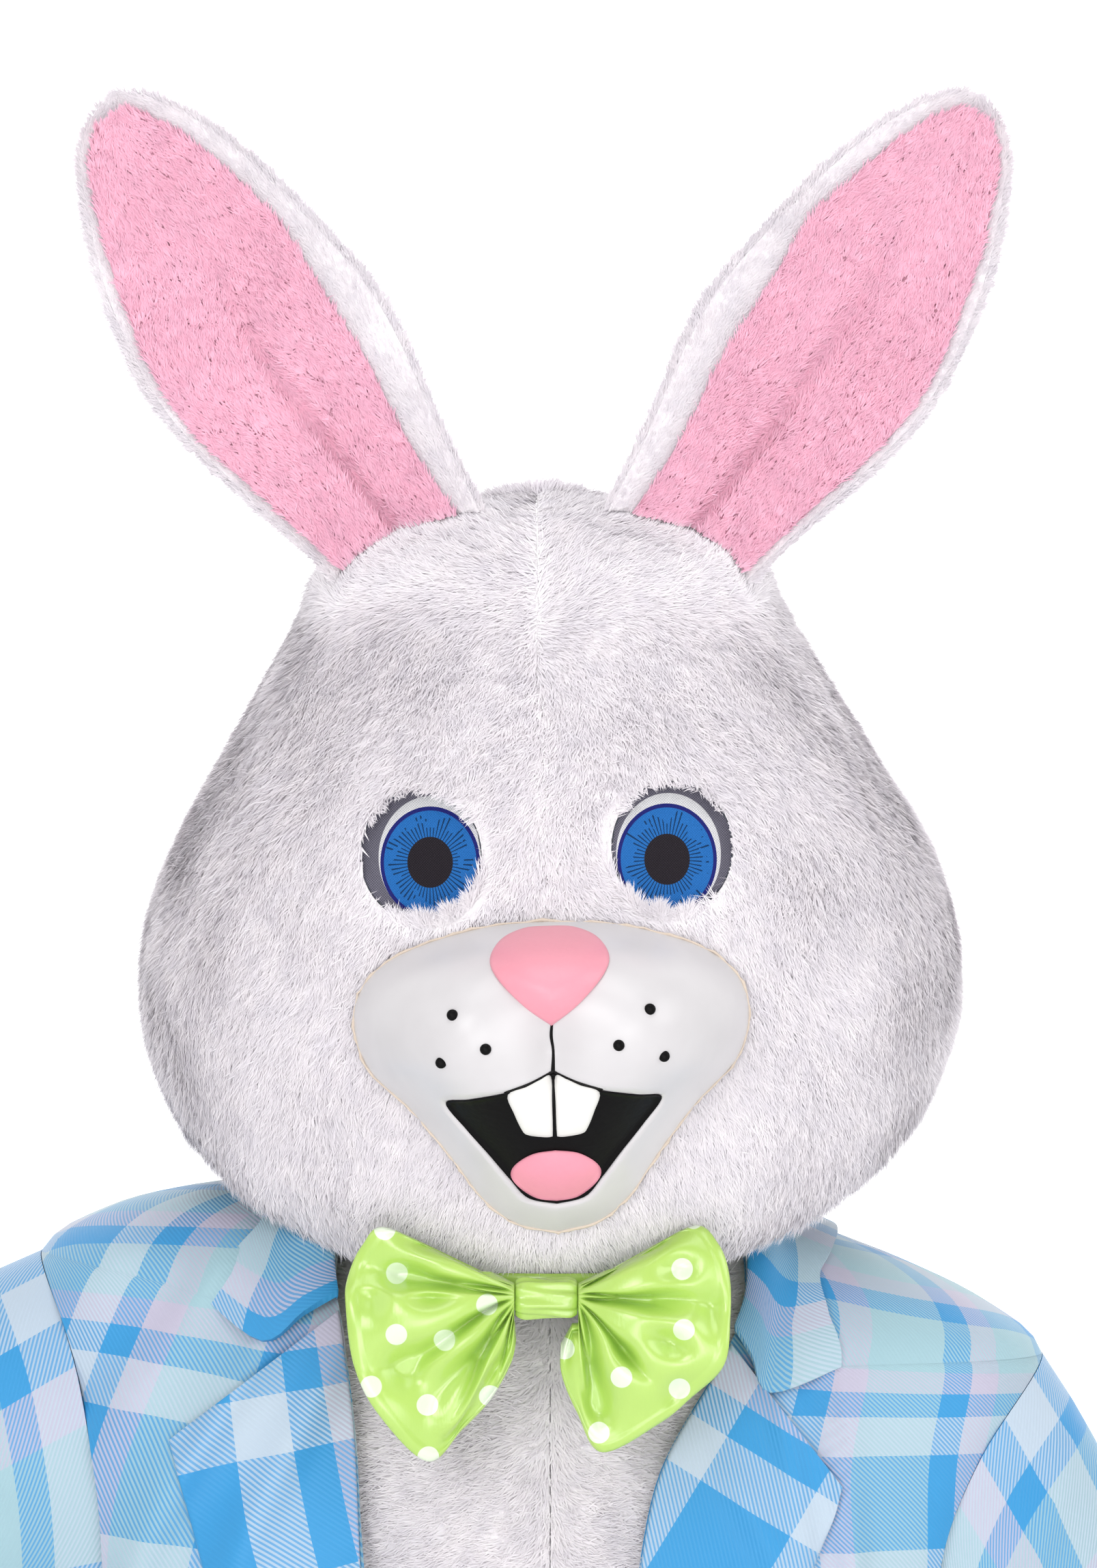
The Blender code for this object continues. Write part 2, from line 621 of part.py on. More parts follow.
def muzzle_rise(x, z):
    """How far the formed face stands out from the fur at x, z."""
    angle = math.atan2(x, z - MUZZLE_Z)
    reach = np.interp(angle, *MUZZLE_REACH, period=2 * math.pi)
    share = min(math.hypot(x, z - MUZZLE_Z) / reach, 1)
    height = 0.031 + 0.021 * smoothstep((z - 0.020) / 0.070)
    rise = height * math.sin(math.pi / 2 * (1 - share ** 2.6))
    pad = math.exp(-((abs(x) - 0.042) / 0.024) ** 2 - ((z - 0.098) / 0.024) ** 2)
    groove = math.exp(-(x / 0.010) ** 2) * smoothstep((0.112 - z) / 0.02) * smoothstep((z - 0.06) / 0.02)
    recess = smoothstep((edge_distance(x, z, MOUTH_EDGE) + 0.004) / 0.008)
    return float(rise + 0.008 * pad - 0.005 * groove - MOUTH_DEPTH * recess)


def muzzle_front(x, z):
    return float(face_y(x, z)) - REST_GAP - MUZZLE_WALL - muzzle_rise(x, z)


def make_muzzle():
    """One thin formed shell on the fur, hollow behind."""
    outline = closed_outline(MUZZLE_EDGE, 36)
    middle = np.array((0, MUZZLE_Z))
    shares = np.array((1, 0.92, 0.83, 0.73, 0.63, 0.53, 0.42, 0.30, 0.16))
    flat = np.array([middle + share * (outline - middle) for share in shares])
    step = 0.0015
    front = np.zeros(flat.shape[:2] + (3,))
    rear = np.zeros_like(front)
    for index in np.ndindex(flat.shape[:2]):
        x, z = flat[index]
        y = muzzle_front(x, z)
        slope_x = (muzzle_front(x + step, z) - muzzle_front(x - step, z)) / (2 * step)
        slope_z = (muzzle_front(x, z + step) - muzzle_front(x, z - step)) / (2 * step)
        normal = np.array((slope_x, -1, slope_z))
        normal /= np.linalg.norm(normal)
        front[index] = (x, y, z)
        rear[index] = front[index] - MUZZLE_WALL * normal
        if index[0] == 0:
            rear[index] = (x, y + MUZZLE_WALL, z)
    rows, count = flat.shape[:2]
    points = list(front.reshape(-1, 3)) + list(rear.reshape(-1, 3))
    crown = muzzle_front(0, MUZZLE_Z)
    points += [(0, crown, MUZZLE_Z), (0, crown + MUZZLE_WALL, MUZZLE_Z)]
    faces = grid_faces(rows, count, True)
    faces += [tuple(reversed(face)) for face in grid_faces(rows, count, True, rows * count)]
    last, rear_start, tip = (rows - 1) * count, rows * count, 2 * rows * count
    for column in range(count):
        beside = (column + 1) % count
        faces.append((last + column, last + beside, tip))
        faces.append((rear_start + last + beside, rear_start + last + column, tip + 1))
        faces.append((column, rear_start + column, rear_start + beside, beside))
    return solid("muzzle", points, faces, "formed_white")


def make_face():
    """The muzzle, and on it the nose, the dark mouth, two teeth and the tongue."""
    muzzle = make_muzzle()
    on_muzzle = surface_of(muzzle)
    nose = patch("nose", closed_outline(NOSE_EDGE, 20), (0, NOSE_MIDDLE), on_muzzle,
                 lambda inside: 0.0015 + 0.0075 * math.sin(math.pi / 2 * min(1, 1.25 * inside)),
                 "nose_pink", 3, back=0.0017)
    mouth = patch("mouth", closed_outline(MOUTH_EDGE, 24), (0, MOUTH_MIDDLE), on_muzzle,
                  lambda inside: 0.0010, "black", 4, back=0.0020)
    on_mouth = surface_of(mouth)
    pieces = [muzzle, nose, mouth]
    for side, word in ((-1, "left"), (1, "right")):
        edge = ring_outline([(side * x, z) for x, z in TOOTH_EDGE], 12)
        middle = edge.mean(axis=0)
        edge = middle + 0.96 * (edge - middle)
        pieces.append(patch("tooth_" + word, edge, middle, lambda x, z: on_mouth(x, z) or on_muzzle(x, z),
                            lambda inside: 0.0028, "formed_white", 2, back=0.0012))
    tongue_edge = closed_outline(TONGUE_EDGE, 16)
    pieces.append(patch("tongue", (0, 0.032) + 0.95 * (tongue_edge - (0, 0.032)), (0, 0.032),
                        lambda x, z: on_mouth(x, z) or on_muzzle(x, z),
                        lambda inside: 0.0010 + 0.0045 * math.sin(math.pi / 2 * inside),
                        "nose_pink", 2, back=0.0016))
    for piece in pieces:
        moved(piece, tilted)


# ---------------------------------------------------------------- ears
def ear_axes(side):
    foot = np.array((EAR_X + side * EAR_FOOT[0], EAR_FOOT[1], EAR_FOOT[2]))
    tip = np.array((EAR_X + side * EAR_TIP[0], EAR_TIP[1], EAR_TIP[2]))
    along = tip - foot
    length = np.linalg.norm(along)
    outward = np.array((side * along[2], 0, -side * along[0]))
    outward /= np.linalg.norm(outward)
    if outward[0] * side < 0:
        outward = -outward
    forward = np.cross(along / length, outward)
    forward *= -np.sign(forward[1])
    return foot, along, outward, forward


def ear_points(side, rows, across, inner_column, outer_column, depth):
    """Grid of an ear: `across` runs from -1, towards the other ear, to 1."""
    foot, along, outward, forward = ear_axes(side)
    table = smooth(EAR_ROWS, np.asarray(rows, float))
    names = EAR_COLUMNS.split()
    inner, outer = table[:, names.index(inner_column)], table[:, names.index(outer_column)]
    full_inner, full_outer = table[:, names.index("inner")], table[:, names.index("outer")]
    grid = np.zeros((len(table), len(across), 3))
    for j, share in enumerate(across):
        reach = (outer - inner) / 2 + share * (outer + inner) / 2
        full = np.maximum(np.where(reach > 0, full_outer, full_inner), 0.004)
        cup = EAR_CUP * np.minimum(np.abs(reach) / full, 1.0) ** 2 * np.minimum(full / 0.05, 1)
        grid[:, j] = (foot + table[:, :1] * along + reach[:, None] * outward
                      + (cup + depth(share, table[:, 0]))[:, None] * forward)
    return grid


def make_ears():
    """Each ear is a cupped fur back with a pink plush panel laid in its front."""
    head_tool = head_cutter()
    rows = np.array((0, 1.5, 3, 4, 5, 6, 7, 8, 9, 9.8, 10.6, 11.3, 12))
    across = np.sin(np.linspace(-math.pi / 2, math.pi / 2, 9))
    pink_across = np.linspace(-1, 1, 7)
    pink_rows = np.array((0, 1.5, 3, 4, 5, 6, 7, 8, 9, 10, 10.9))

    def back_depth(share, along):
        return -(0.002 + (EAR_WALL - 0.002) * math.sqrt(max(0, 1 - share * share))) * (1 - 0.4 * along)

    for side, word in ((-1, "left"), (1, "right")):
        front = ear_points(side, rows, across, "inner", "outer", lambda share, along: 0 * along)
        back = ear_points(side, rows, across, "inner", "outer", back_depth)
        cut(walled("ear_back_" + word, front, back, "white_fur"), head_tool)
        low = ear_points(side, pink_rows, pink_across, "pink_inner", "pink_outer",
                         lambda share, along: 0 * along + REST_GAP)
        high = ear_points(side, pink_rows, pink_across, "pink_inner", "pink_outer",
                          lambda share, along: 0 * along + REST_GAP + 0.0012
                          + PINK_WALL * math.sqrt(max(0, 1 - share ** 4)))
        cut(walled("ear_pink_" + word, high, low, "pink_fur"), head_tool)


def head_cutter():
    """The head's outer form, a hair larger, which trims the foot of each ear."""
    angles = np.linspace(0, 2 * math.pi, 48, endpoint=False)
    rows = np.linspace(9, len(HEAD_ROWS) - 1.05, 22)
    grid = tilted(head_surface(angles[None, :], rows[:, None], extra=0.0006))
    count = len(angles)
    points = list(grid.reshape(-1, 3)) + [grid[0].mean(axis=0), grid[-1].mean(axis=0) + (0, 0, 0.002)]
    faces = grid_faces(len(rows), count, True)
    for column in range(count):
        beside = (column + 1) % count
        faces.append((beside, column, len(points) - 2))
        faces.append(((len(rows) - 1) * count + column, (len(rows) - 1) * count + beside, len(points) - 1))
    tool = solid("ear_foot_cutter", points, faces, "white_fur")
    tool.hide_render = True
    tool.display_type = "WIRE"
    return tool


# ---------------------------------------------------------------- blazer
def lifted(points):
    """The lifted arm on the -X side takes the shoulder up and draws the armhole out."""
    points = np.array(points, float)
    x, z = points[..., 0], points[..., 2]
    share = smoothstep(-x / RAISE_SPAN)
    points[..., 2] = z + SHOULDER_RAISE * share * smoothstep((z + 0.26) / 0.20)
    points[..., 0] = x - SHOULDER_PULL * share * np.exp(-((z - PULL_Z) / PULL_SPAN) ** 2)
    return points


def jacket_surface(angle, row):
    """The blazer's outer surface; angle 0 is the front, and positive turns to +X."""
    table = np.moveaxis(smooth(JACKET_ROWS, row), -1, 0)
    z, half, front, back = table[:4]
    sine, cosine = np.sin(angle), np.cos(angle)
    depth = np.where(cosine > 0, front, back)
    x = half * power(sine, 2 / SECTION_POWER)
    y = -depth * power(cosine, 2 / SECTION_POWER)
    return np.stack((x, y, np.broadcast_to(z, x.shape)), -1)


def fold_height(x, z):
    """Height of the cloth's large folds at x, z on the fronts."""
    total = np.zeros_like(x)
    for x1, z1, x2, z2, width, height in FRONT_FOLDS:
        run = np.array((x2 - x1, z2 - z1))
        length = np.hypot(*run)
        share = ((x - x1) * run[0] + (z - z1) * run[1]) / length ** 2
        off = ((x - x1) * run[1] - (z - z1) * run[0]) / length
        ends = smoothstep(share / 0.3 + 0.3) * smoothstep((1 - share) / 0.3 + 0.3)
        total += height * ends * np.exp(-(off / width) ** 2)
    return total


def front_y(x, z):
    """The blazer's front at x, z, before the shoulder is lifted."""
    table = np.moveaxis(smooth(JACKET_ROWS, row_at(JACKET_ROWS, z)), -1, 0)
    half, front = table[1], table[2]
    share = np.clip(np.abs(x) / half, 0, 0.999)
    return -front * (1 - share ** SECTION_POWER) ** (1 / SECTION_POWER) - fold_height(x, z)


def edge_angle(row, column):
    """Angle at which a front panel's free edge lies."""
    table = np.moveaxis(smooth(JACKET_ROWS, row), -1, 0)
    share = np.clip(table[JACKET_COLUMNS.split().index(column)] / table[1], 0, 0.999)
    return np.arcsin(share ** (SECTION_POWER / 2))


def armhole_angle(z):
    """How far the armhole eats into a panel at height z, as an angle from the side."""
    share = np.clip(1 - ((z - ARMHOLE_Z) / ARMHOLE_TALL) ** 2, 0, 1)
    return ARMHOLE_WIDE * np.sqrt(share)


def jacket_rows():
    """Row numbers for the body: close together on the shoulder and the armhole."""
    top = np.linspace(0, 3, 6)[:-1]
    steps = np.linspace(0, math.pi, ARMHOLE_STEPS // 2 + 1)
    armhole = row_at(JACKET_ROWS, ARMHOLE_Z + ARMHOLE_TALL * np.cos(steps))
    between = np.linspace(3, armhole[0], 3)[:-1]
    below = np.linspace(armhole[-1], len(JACKET_ROWS) - 1, 8)[1:]
    return np.concatenate((top, between, armhole, below))


def cloth(outer, middle, wall, wrap=False):
    """A wall of cloth whose inner side lies behind the outer one."""
    normal = away_from(grid_normals(outer, wrap), outer, middle)
    return outer, outer - wall * normal


def make_jacket_body():
    """Two fronts and a back, open down the front and at both armholes."""
    rows = jacket_rows()
    heights = smooth(JACKET_ROWS, rows)[:, 0]
    hole = armhole_angle(heights)
    core = np.stack((0 * heights, 0 * heights, np.minimum(heights, -0.10)), -1)[:, None, :]
    for side, word in ((-1, "left"), (1, "right")):
        first = edge_angle(rows, word + "_edge")
        last = math.pi / 2 - hole
        share = np.linspace(0, 1, 8)
        angle = side * (first[:, None] + share * (last - first)[:, None])
        outer = jacket_surface(angle, rows[:, None] + 0 * angle)
        outer[..., 1] -= fold_height(outer[..., 0], outer[..., 2])
        outer, inner = cloth(outer, core, JACKET_WALL)
        for wall in (outer, inner):
            wall[..., 1] = np.minimum(wall[..., 1], -GAP / 2)
        walled("jacket_front_" + word, lifted(outer), lifted(inner), "blue_plaid")
    first = math.pi / 2 + hole
    angle = first[:, None] + np.linspace(0, 1, 12) * (2 * math.pi - 2 * first)[:, None]
    outer = jacket_surface(angle, rows[:, None] + 0 * angle)
    outer, inner = cloth(outer, core, JACKET_WALL)
    for wall in (outer, inner):
        wall[..., 1] = np.maximum(wall[..., 1], GAP / 2)
    walled("jacket_back", lifted(outer), lifted(inner), "blue_plaid")


def armhole_ring(side, count):
    """Points round an armhole, from the shoulder by the front to the underarm and back."""
    turn = np.linspace(0, 2 * math.pi, count, endpoint=False)
    z = ARMHOLE_Z + (ARMHOLE_TALL - 2 * GAP) * np.cos(turn)
    angle = math.pi / 2 - (ARMHOLE_WIDE - 8 * GAP) * np.sin(turn)
    return jacket_surface(side * angle, row_at(JACKET_ROWS, z)), turn


def sleeve_section(side, table, turn):
    """One ring of a sleeve's tube from its row of the table."""
    x, y, z, lean, half_out, half_deep = table
    lean = math.radians(lean)
    outward = np.array((side * math.cos(lean), 0, math.sin(lean)))
    forward = np.array((0, -1, 0))
    middle = np.array((side * x, y, z))
    return (middle + half_out * np.cos(turn)[:, None] * outward
            + half_deep * np.sin(turn)[:, None] * forward), middle


def make_sleeves():
    """A set-in sleeve on each side: from the armhole's ring to the open cuff."""
    count, rings = ARMHOLE_STEPS, 10
    for side, word, rows, rise in ((-1, "left", RAISED_SLEEVE, RAISED_CAP), (1, "right", HANGING_SLEEVE, HANGING_CAP)):
        start, turn = armhole_ring(side, count)
        start = lifted(start) + (side * 0.0006, 0, 0)
        table = smooth(rows, np.linspace(0, len(rows) - 1, rings - 3))
        sections = [sleeve_section(side, row, turn) for row in table]
        first, middle = sections[0]
        start_middle = start.mean(axis=0)
        grid, middles = [start], [start_middle]
        for share in (0.28, 0.62):
            cap = smoothstep(share)
            puff = rise * math.sin(math.pi * share) * np.maximum(np.cos(turn), 0)[:, None]
            outward = (first - middle) / np.linalg.norm(first - middle, axis=1)[:, None]
            grid.append(start + share * (first - start) + puff * outward)
            middles.append(start_middle + cap * (middle - start_middle))
        for ring, centre in sections:
            grid.append(ring)
            middles.append(centre)
        outer = np.array(grid)
        core = np.array(middles)[:, None, :]
        outer, inner = cloth(outer, core, JACKET_WALL, wrap=True)
        walled("sleeve_" + word, outer, inner, "blue_plaid", wrap=True)


def make_lapels():
    """A wide notch lapel on each front, made from the front's own surface moved out."""
    table = smooth(LAPEL_ROWS, np.linspace(0, len(LAPEL_ROWS) - 1, 11))
    across = np.linspace(0, 1, 6)
    for side, word, edge_column, width_column in ((-1, "left", 1, 3), (1, "right", 2, 4)):
        z = table[:, :1] + across * (table[:, edge_column:edge_column + 1] - table[:, :1])
        edge = smooth(JACKET_ROWS, row_at(JACKET_ROWS, table[:, 0]))
        roll = edge[:, JACKET_COLUMNS.split().index(word + "_edge")][:, None]
        x = side * (roll + 0.0005 + across * table[:, width_column:width_column + 1])
        surface = front_y(x, z)
        belly = 0.0022 * np.sin(math.pi * across) + 0.0008 * across
        low = np.stack((x, surface - 0.0011 - belly, z), -1)
        high = np.stack((x, surface - 0.0011 - LAPEL_WALL - belly, z), -1)
        walled("lapel_" + word, lifted(high), lifted(low), "blue_plaid")


def jacket_normal(angle, row):
    """Outward direction of the blazer's surface."""
    turn, drop = 0.02, 0.05
    around = jacket_surface(angle + turn, row) - jacket_surface(angle - turn, row)
    low = np.minimum(row, len(JACKET_ROWS) - 1 - drop)
    down = jacket_surface(angle, low + drop) - jacket_surface(angle, np.maximum(low - drop, 0))
    normal = np.cross(down, around)
    normal /= np.linalg.norm(normal)
    point = jacket_surface(angle, row) - (0, 0, -0.12)
    return normal if np.dot(normal, point) > 0 else -normal


def collar_section(side, word, station, lean):
    """The collar's cut through one station: up the stand, over the fold, down the leaf."""
    foot_row, foot_turn, fold, mid_turn, mid_row, edge_turn, edge_row = station
    mid_turn, edge_turn = mid_turn + lean, edge_turn + lean
    row = np.array(max(foot_row, 0.0))
    free = float(edge_angle(row, word + "_edge"))
    angle = np.array(side * max(free, math.radians(foot_turn)))
    foot, out = jacket_surface(angle, row), jacket_normal(angle, row)
    flat_out = out * (1, 1, 0.3)
    flat_out /= np.linalg.norm(flat_out)
    up = np.array((0, 0, 1.0))
    foot = foot + 0.0016 * out + 0.0012 * up * (foot_row < 0.5)
    ridge = foot + fold * up + 0.0045 * flat_out
    leaf = []
    for turn, leaf_row, lift in ((mid_turn, mid_row, 0.0042), (edge_turn, edge_row, 0.0020)):
        place = (np.array(side * math.radians(turn)), np.array(leaf_row))
        normal = jacket_normal(*place)
        under = jacket_surface(*place)
        if abs(turn) < 80:
            under = under - (0, float(fold_height(under[0], under[2])), 0)
        under = under + lift * normal
        leaf.append((under, under + LAPEL_WALL * normal))
    (mid_in, mid_out), (edge_in, edge_out) = leaf
    near_out = 0.55 * ridge + 0.45 * mid_out + 0.0022 * out
    near_in = 0.55 * ridge + 0.45 * mid_in + 0.0004 * out - 0.0008 * up
    return (foot - 0.0002 * flat_out, ridge - 0.0016 * up - 0.0012 * flat_out, ridge + 0.0012 * out,
            near_out, mid_out, edge_out, edge_in, mid_in, near_in,
            ridge - 0.0034 * up + 0.0004 * flat_out, foot + 0.0014 * flat_out)


def make_collar():
    """The collar: a stand inside the fold, and a leaf that lies on the shoulders."""
    at = np.linspace(0, len(COLLAR_ROWS) - 1, 11)
    stations = smooth(COLLAR_ROWS, at)
    fade = np.clip(1 - at / 4, 0, 1)
    left = [collar_section(-1, "left", *pair) for pair in zip(stations, COLLAR_LEFT_TURN * fade)]
    right = [collar_section(1, "right", *pair) for pair in zip(stations, COLLAR_RIGHT_TURN * fade)]
    swept("collar", lifted(np.array(left + right[::-1][1:])), "blue_plaid")


def make_buttons():
    """Two plain buttons by the edge of the left front."""
    for index, z in enumerate(BUTTON_HEIGHTS):
        turn = np.linspace(0, 2 * math.pi, 16, endpoint=False)
        ring = np.stack((BUTTON_X + BUTTON_RADIUS * np.cos(turn), z + BUTTON_RADIUS * np.sin(turn)), -1)
        flat = float(np.min([front_y(px, pz) for px, pz in ring]))
        patch("button_%d" % (index + 1), ring, (BUTTON_X, z), lambda px, pz: flat,
              lambda inside: BUTTON_THICK * (0.75 + 0.25 * (inside < 0.5)), "button_blue", 2, back=GAP)


# ---------------------------------------------------------------- bodysuit
def body_surface(angle, row):
    z, half, front, back = np.moveaxis(smooth(BODY_ROWS, row), -1, 0)
    depth = np.where(np.cos(angle) > 0, front, back)
    sine, cosine = np.sin(angle), np.cos(angle)
    x = half * power(sine, 2 / SECTION_POWER)
    y = -depth * power(cosine, 2 / SECTION_POWER)
    return np.stack((x, y, np.broadcast_to(z, x.shape)), -1)


def make_bodysuit():
    """Plush body and legs, open at the neck, the arms and the ankles."""
    rows = np.concatenate((np.linspace(0, 4, 8), np.linspace(4, len(BODY_ROWS) - 1, 8)[1:]))
    heights = smooth(BODY_ROWS, rows)[:, 0]
    core = np.stack((0 * heights, 0 * heights, np.minimum(heights, -0.10)), -1)[:, None, :]
    share = np.clip(1 - ((heights - BODY_ARM_Z) / BODY_ARM_TALL) ** 2, 0, 1)
    hole = BODY_ARM_WIDE * np.sqrt(share)
    side = math.pi / 2
    spans = (("body_front_left", -side + hole, 0 * hole, -1, -1),
             ("body_front_right", 0 * hole, side - hole, 1, -1),
             ("body_back", side + hole, 2 * math.pi - side - hole, 0, 1))
    for name, first, last, x_side, y_side in spans:
        steps = np.linspace(0, 1, 7 if x_side else 11)
        angle = first[:, None] + steps * (last - first)[:, None]
        outer = body_surface(angle, rows[:, None] + 0 * angle)
        outer, inner = cloth(outer, core, BODY_WALL)
        for wall in (outer, inner):
            wall[..., 1] = y_side * np.maximum(y_side * wall[..., 1], GAP / 2)
            if x_side:
                wall[..., 0] = x_side * np.maximum(x_side * wall[..., 0], GAP / 2)
        inner[0, :, 2] = outer[0, :, 2]
        inner[-1, :, 2] = outer[-1, :, 2]
        walled(name, outer, inner, "white_fur")
    turn = np.linspace(0, 2 * math.pi, 16, endpoint=False)
    for side, word in ((-1, "left"), (1, "right")):
        table = smooth(LEG_ROWS, np.linspace(0, len(LEG_ROWS) - 1, 8))
        grids = []
        for inset in (0, BODY_WALL):
            z, x, half, front, back = [column[:, None] for column in table.T]
            depth = np.where(np.cos(turn) > 0, front, back) - inset
            grid_x = side * (x + (half - inset) * power(np.sin(turn), 2 / SECTION_POWER))
            grid_y = -depth * power(np.cos(turn), 2 / SECTION_POWER)
            grids.append(np.stack((grid_x, grid_y, z + 0 * grid_x), -1))
        walled("leg_" + word, grids[0], grids[1], "white_fur", wrap=True)


# ---------------------------------------------------------------- bow tie
def lobe_puff(far, across):
    """How far the satin stands out: far 0 at the knot, across 0 to 1 from top to bottom."""
    swell = math.sin(math.pi * min(1, 0.16 + 0.80 * far))
    edge = math.sin(math.pi * min(max(across, 0.0), 1.0)) ** 0.45
    pleat = 0.5 - 0.5 * math.cos(2 * math.pi * PLEATS * across)
    fade = smoothstep(far / 0.25) * smoothstep((1.12 - far) / 0.5)
    return BOW_PUFF * swell * edge * (1 - PLEAT_DEPTH * pleat * fade)


def make_bow():
    """Two pleated satin lobes, the knot round their middle, and the band round the neck."""
    outs, acrosses = 7, 2 * PLEATS + 3
    for side, word, edge in ((-1, "left", LEFT_LOBE), (1, "right", RIGHT_LOBE)):
        pinch_x = KNOT_X + side * (KNOT_WIDE / 2 + GAP)
        across = np.linspace(0, 1, acrosses)
        rim = smooth(edge, across * (len(edge) - 1))
        front, back = np.zeros((outs, acrosses, 3)), np.zeros((outs, acrosses, 3))
        for i, far in enumerate(np.linspace(0, 1, outs)):
            for j, share in enumerate(across):
                pinch = np.array((pinch_x, KNOT_Z + 0.0068 - 0.0136 * share))
                x, z = pinch + far * (rim[j] - pinch)
                if side > 0:
                    x = max(x, pinch_x) if far < 0.34 else x
                else:
                    x = min(x, pinch_x) if far < 0.34 else x
                y = BOW_Y - BOW_SWEEP * abs(x - KNOT_X)
                back[i, j] = (x, y, z)
                front[i, j] = (x, y - BOW_HEM - lobe_puff(far, share), z)
        walled("bow_lobe_" + word, front, back, "green_satin")
    turn = np.linspace(0, 2 * math.pi, 14, endpoint=False)
    rings = []
    for share in np.linspace(-1, 1, 7):
        size = 1 - KNOT_WAIST * (1 - share * share) - 0.22 * abs(share) ** 6
        rings.append([(KNOT_X + share * KNOT_WIDE / 2,
                       KNOT_Y + size * KNOT_THICK / 2 * power(np.cos(t), 0.7),
                       KNOT_Z + size * KNOT_TALL / 2 * power(np.sin(t), 0.7)) for t in turn])
    swept("bow_knot", rings, "green_satin")
    rings = []
    for t in np.linspace(0, 2 * math.pi, 26, endpoint=False):
        depth = BAND_FRONT if math.cos(t) > 0 else BAND_BACK
        round_turn = math.degrees(min(t, 2 * math.pi - t))
        z = BAND_LOW + (BAND_HIGH - BAND_LOW) * float(smoothstep((round_turn - BAND_RISE) / BAND_SPREAD))
        section = []
        for out, up in ((0, -1), (0, 1), (-BAND_WALL, 1), (-BAND_WALL, -1)):
            section.append(((BAND_HALF + out) * math.sin(t), BAND_Y - (depth + out) * math.cos(t),
                            z + up * BAND_TALL / 2))
        rings.append(section)
    swept("bow_band", rings, "green_satin", closed=True)


def build():
    for thing in list(bpy.data.objects):
        bpy.data.objects.remove(thing, do_unlink=True)
    make_head()
    make_eyes()
    make_face()
    make_ears()
    make_jacket_body()
    make_sleeves()
    make_lapels()
    make_collar()
    make_buttons()
    make_bodysuit()
    make_bow()


build()
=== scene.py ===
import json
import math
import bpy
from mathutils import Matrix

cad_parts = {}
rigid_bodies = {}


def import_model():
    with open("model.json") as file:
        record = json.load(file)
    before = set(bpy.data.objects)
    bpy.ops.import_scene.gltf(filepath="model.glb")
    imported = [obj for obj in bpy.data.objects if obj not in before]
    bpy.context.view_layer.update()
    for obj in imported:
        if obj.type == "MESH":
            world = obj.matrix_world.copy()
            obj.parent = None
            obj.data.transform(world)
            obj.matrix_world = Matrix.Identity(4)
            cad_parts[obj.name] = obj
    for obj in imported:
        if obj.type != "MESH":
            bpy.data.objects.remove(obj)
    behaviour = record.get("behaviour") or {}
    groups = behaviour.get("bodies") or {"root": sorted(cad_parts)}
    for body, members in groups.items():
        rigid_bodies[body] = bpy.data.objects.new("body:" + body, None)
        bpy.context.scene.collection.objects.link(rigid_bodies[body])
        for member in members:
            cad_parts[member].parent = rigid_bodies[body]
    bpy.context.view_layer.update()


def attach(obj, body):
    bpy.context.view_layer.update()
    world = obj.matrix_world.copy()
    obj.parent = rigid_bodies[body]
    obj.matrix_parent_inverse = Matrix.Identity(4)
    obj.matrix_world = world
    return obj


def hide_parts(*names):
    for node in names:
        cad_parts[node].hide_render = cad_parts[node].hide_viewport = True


bl_info = {
    "name": "Rabbit mascot costume",
    "version": (1, 0, 0),
    "blender": (4, 5, 0),
    "location": "3D View > Sidebar > Costume",
    "description": "Plush rabbit head, satin bow tie, plaid blazer and fur bodysuit",
    "category": "Object",
}

import bpy
import mathutils
import mathutils.kdtree
import numpy as np
from bpy.props import FloatProperty, FloatVectorProperty, IntProperty, PointerProperty

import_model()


def metres(*rows, plain=()):
    """A table's rows in metres, given in millimetres but for the plain columns."""
    rows = np.array(rows, float)
    lengths = [column for column in range(rows.shape[1]) if column not in plain]
    rows[:, lengths] /= 1000
    return rows


# ---------------------------------------------------------------- sizes, metres
GAP = 0.0004
REST_GAP = 0.0008
HEAD_Y = -0.020
HEAD_WALL = 0.014
HEAD_TILT = math.radians(1.7)
TILT_HEIGHT = 0.120
RIM_LIFT = 0.060
NAPE_DROP = 0.45
EYE_X, EYE_Z = 0.0575, 0.1780
EYE_WIDE, EYE_TALL = 0.0280, 0.0305
MUZZLE_Z = 0.088
MUZZLE_WALL = 0.0028
CHIN_RISE, FACE_RISE = 0.031, 0.021        # how far it stands out, and how much more above
PAD_PLACE, PAD_SIZE, PAD_RISE = (0.042, 0.098), 0.024, 0.008
GROOVE_WIDE, GROOVE_DEEP = 0.010, 0.005    # the cleft under the nose
MUZZLE_HOLE = 0.90
MOUTH_DEPTH = 0.006
MOUTH_MIDDLE = 0.050
NOSE_MIDDLE = 0.1255
TONGUE_MIDDLE = 0.032
DOT_RADIUS = 0.0026
EAR_X = -0.003
EAR_FOOT = (0.0600, -0.066, 0.3060)
EAR_TIP = (0.2030, -0.030, 0.5330)
EAR_CUP = 0.013
EAR_WALL = 0.012
PINK_WALL = 0.0045
WHITE_NAP, PINK_NAP = 0.0014, 0.0022       # the ears' pile stands this far out
BODY_WALL = 0.010
JACKET_WALL = 0.0020
LAPEL_WALL = 0.0024
SECTION_POWER = 2.5
CHEST_ROW = 6
ARMHOLE_Z, ARMHOLE_TALL = -0.138, 0.077
ARMHOLE_WIDE = math.radians(35)
SHOULDER_RAISE = 0.050
RAISE_SPAN = 0.260
SHOULDER_PULL = 0.036
PULL_Z, PULL_SPAN = -0.165, 0.085
RAISED_CAP, HANGING_CAP = 0.016, 0.013
COLLAR_TURNS = (4.0, -3.2)
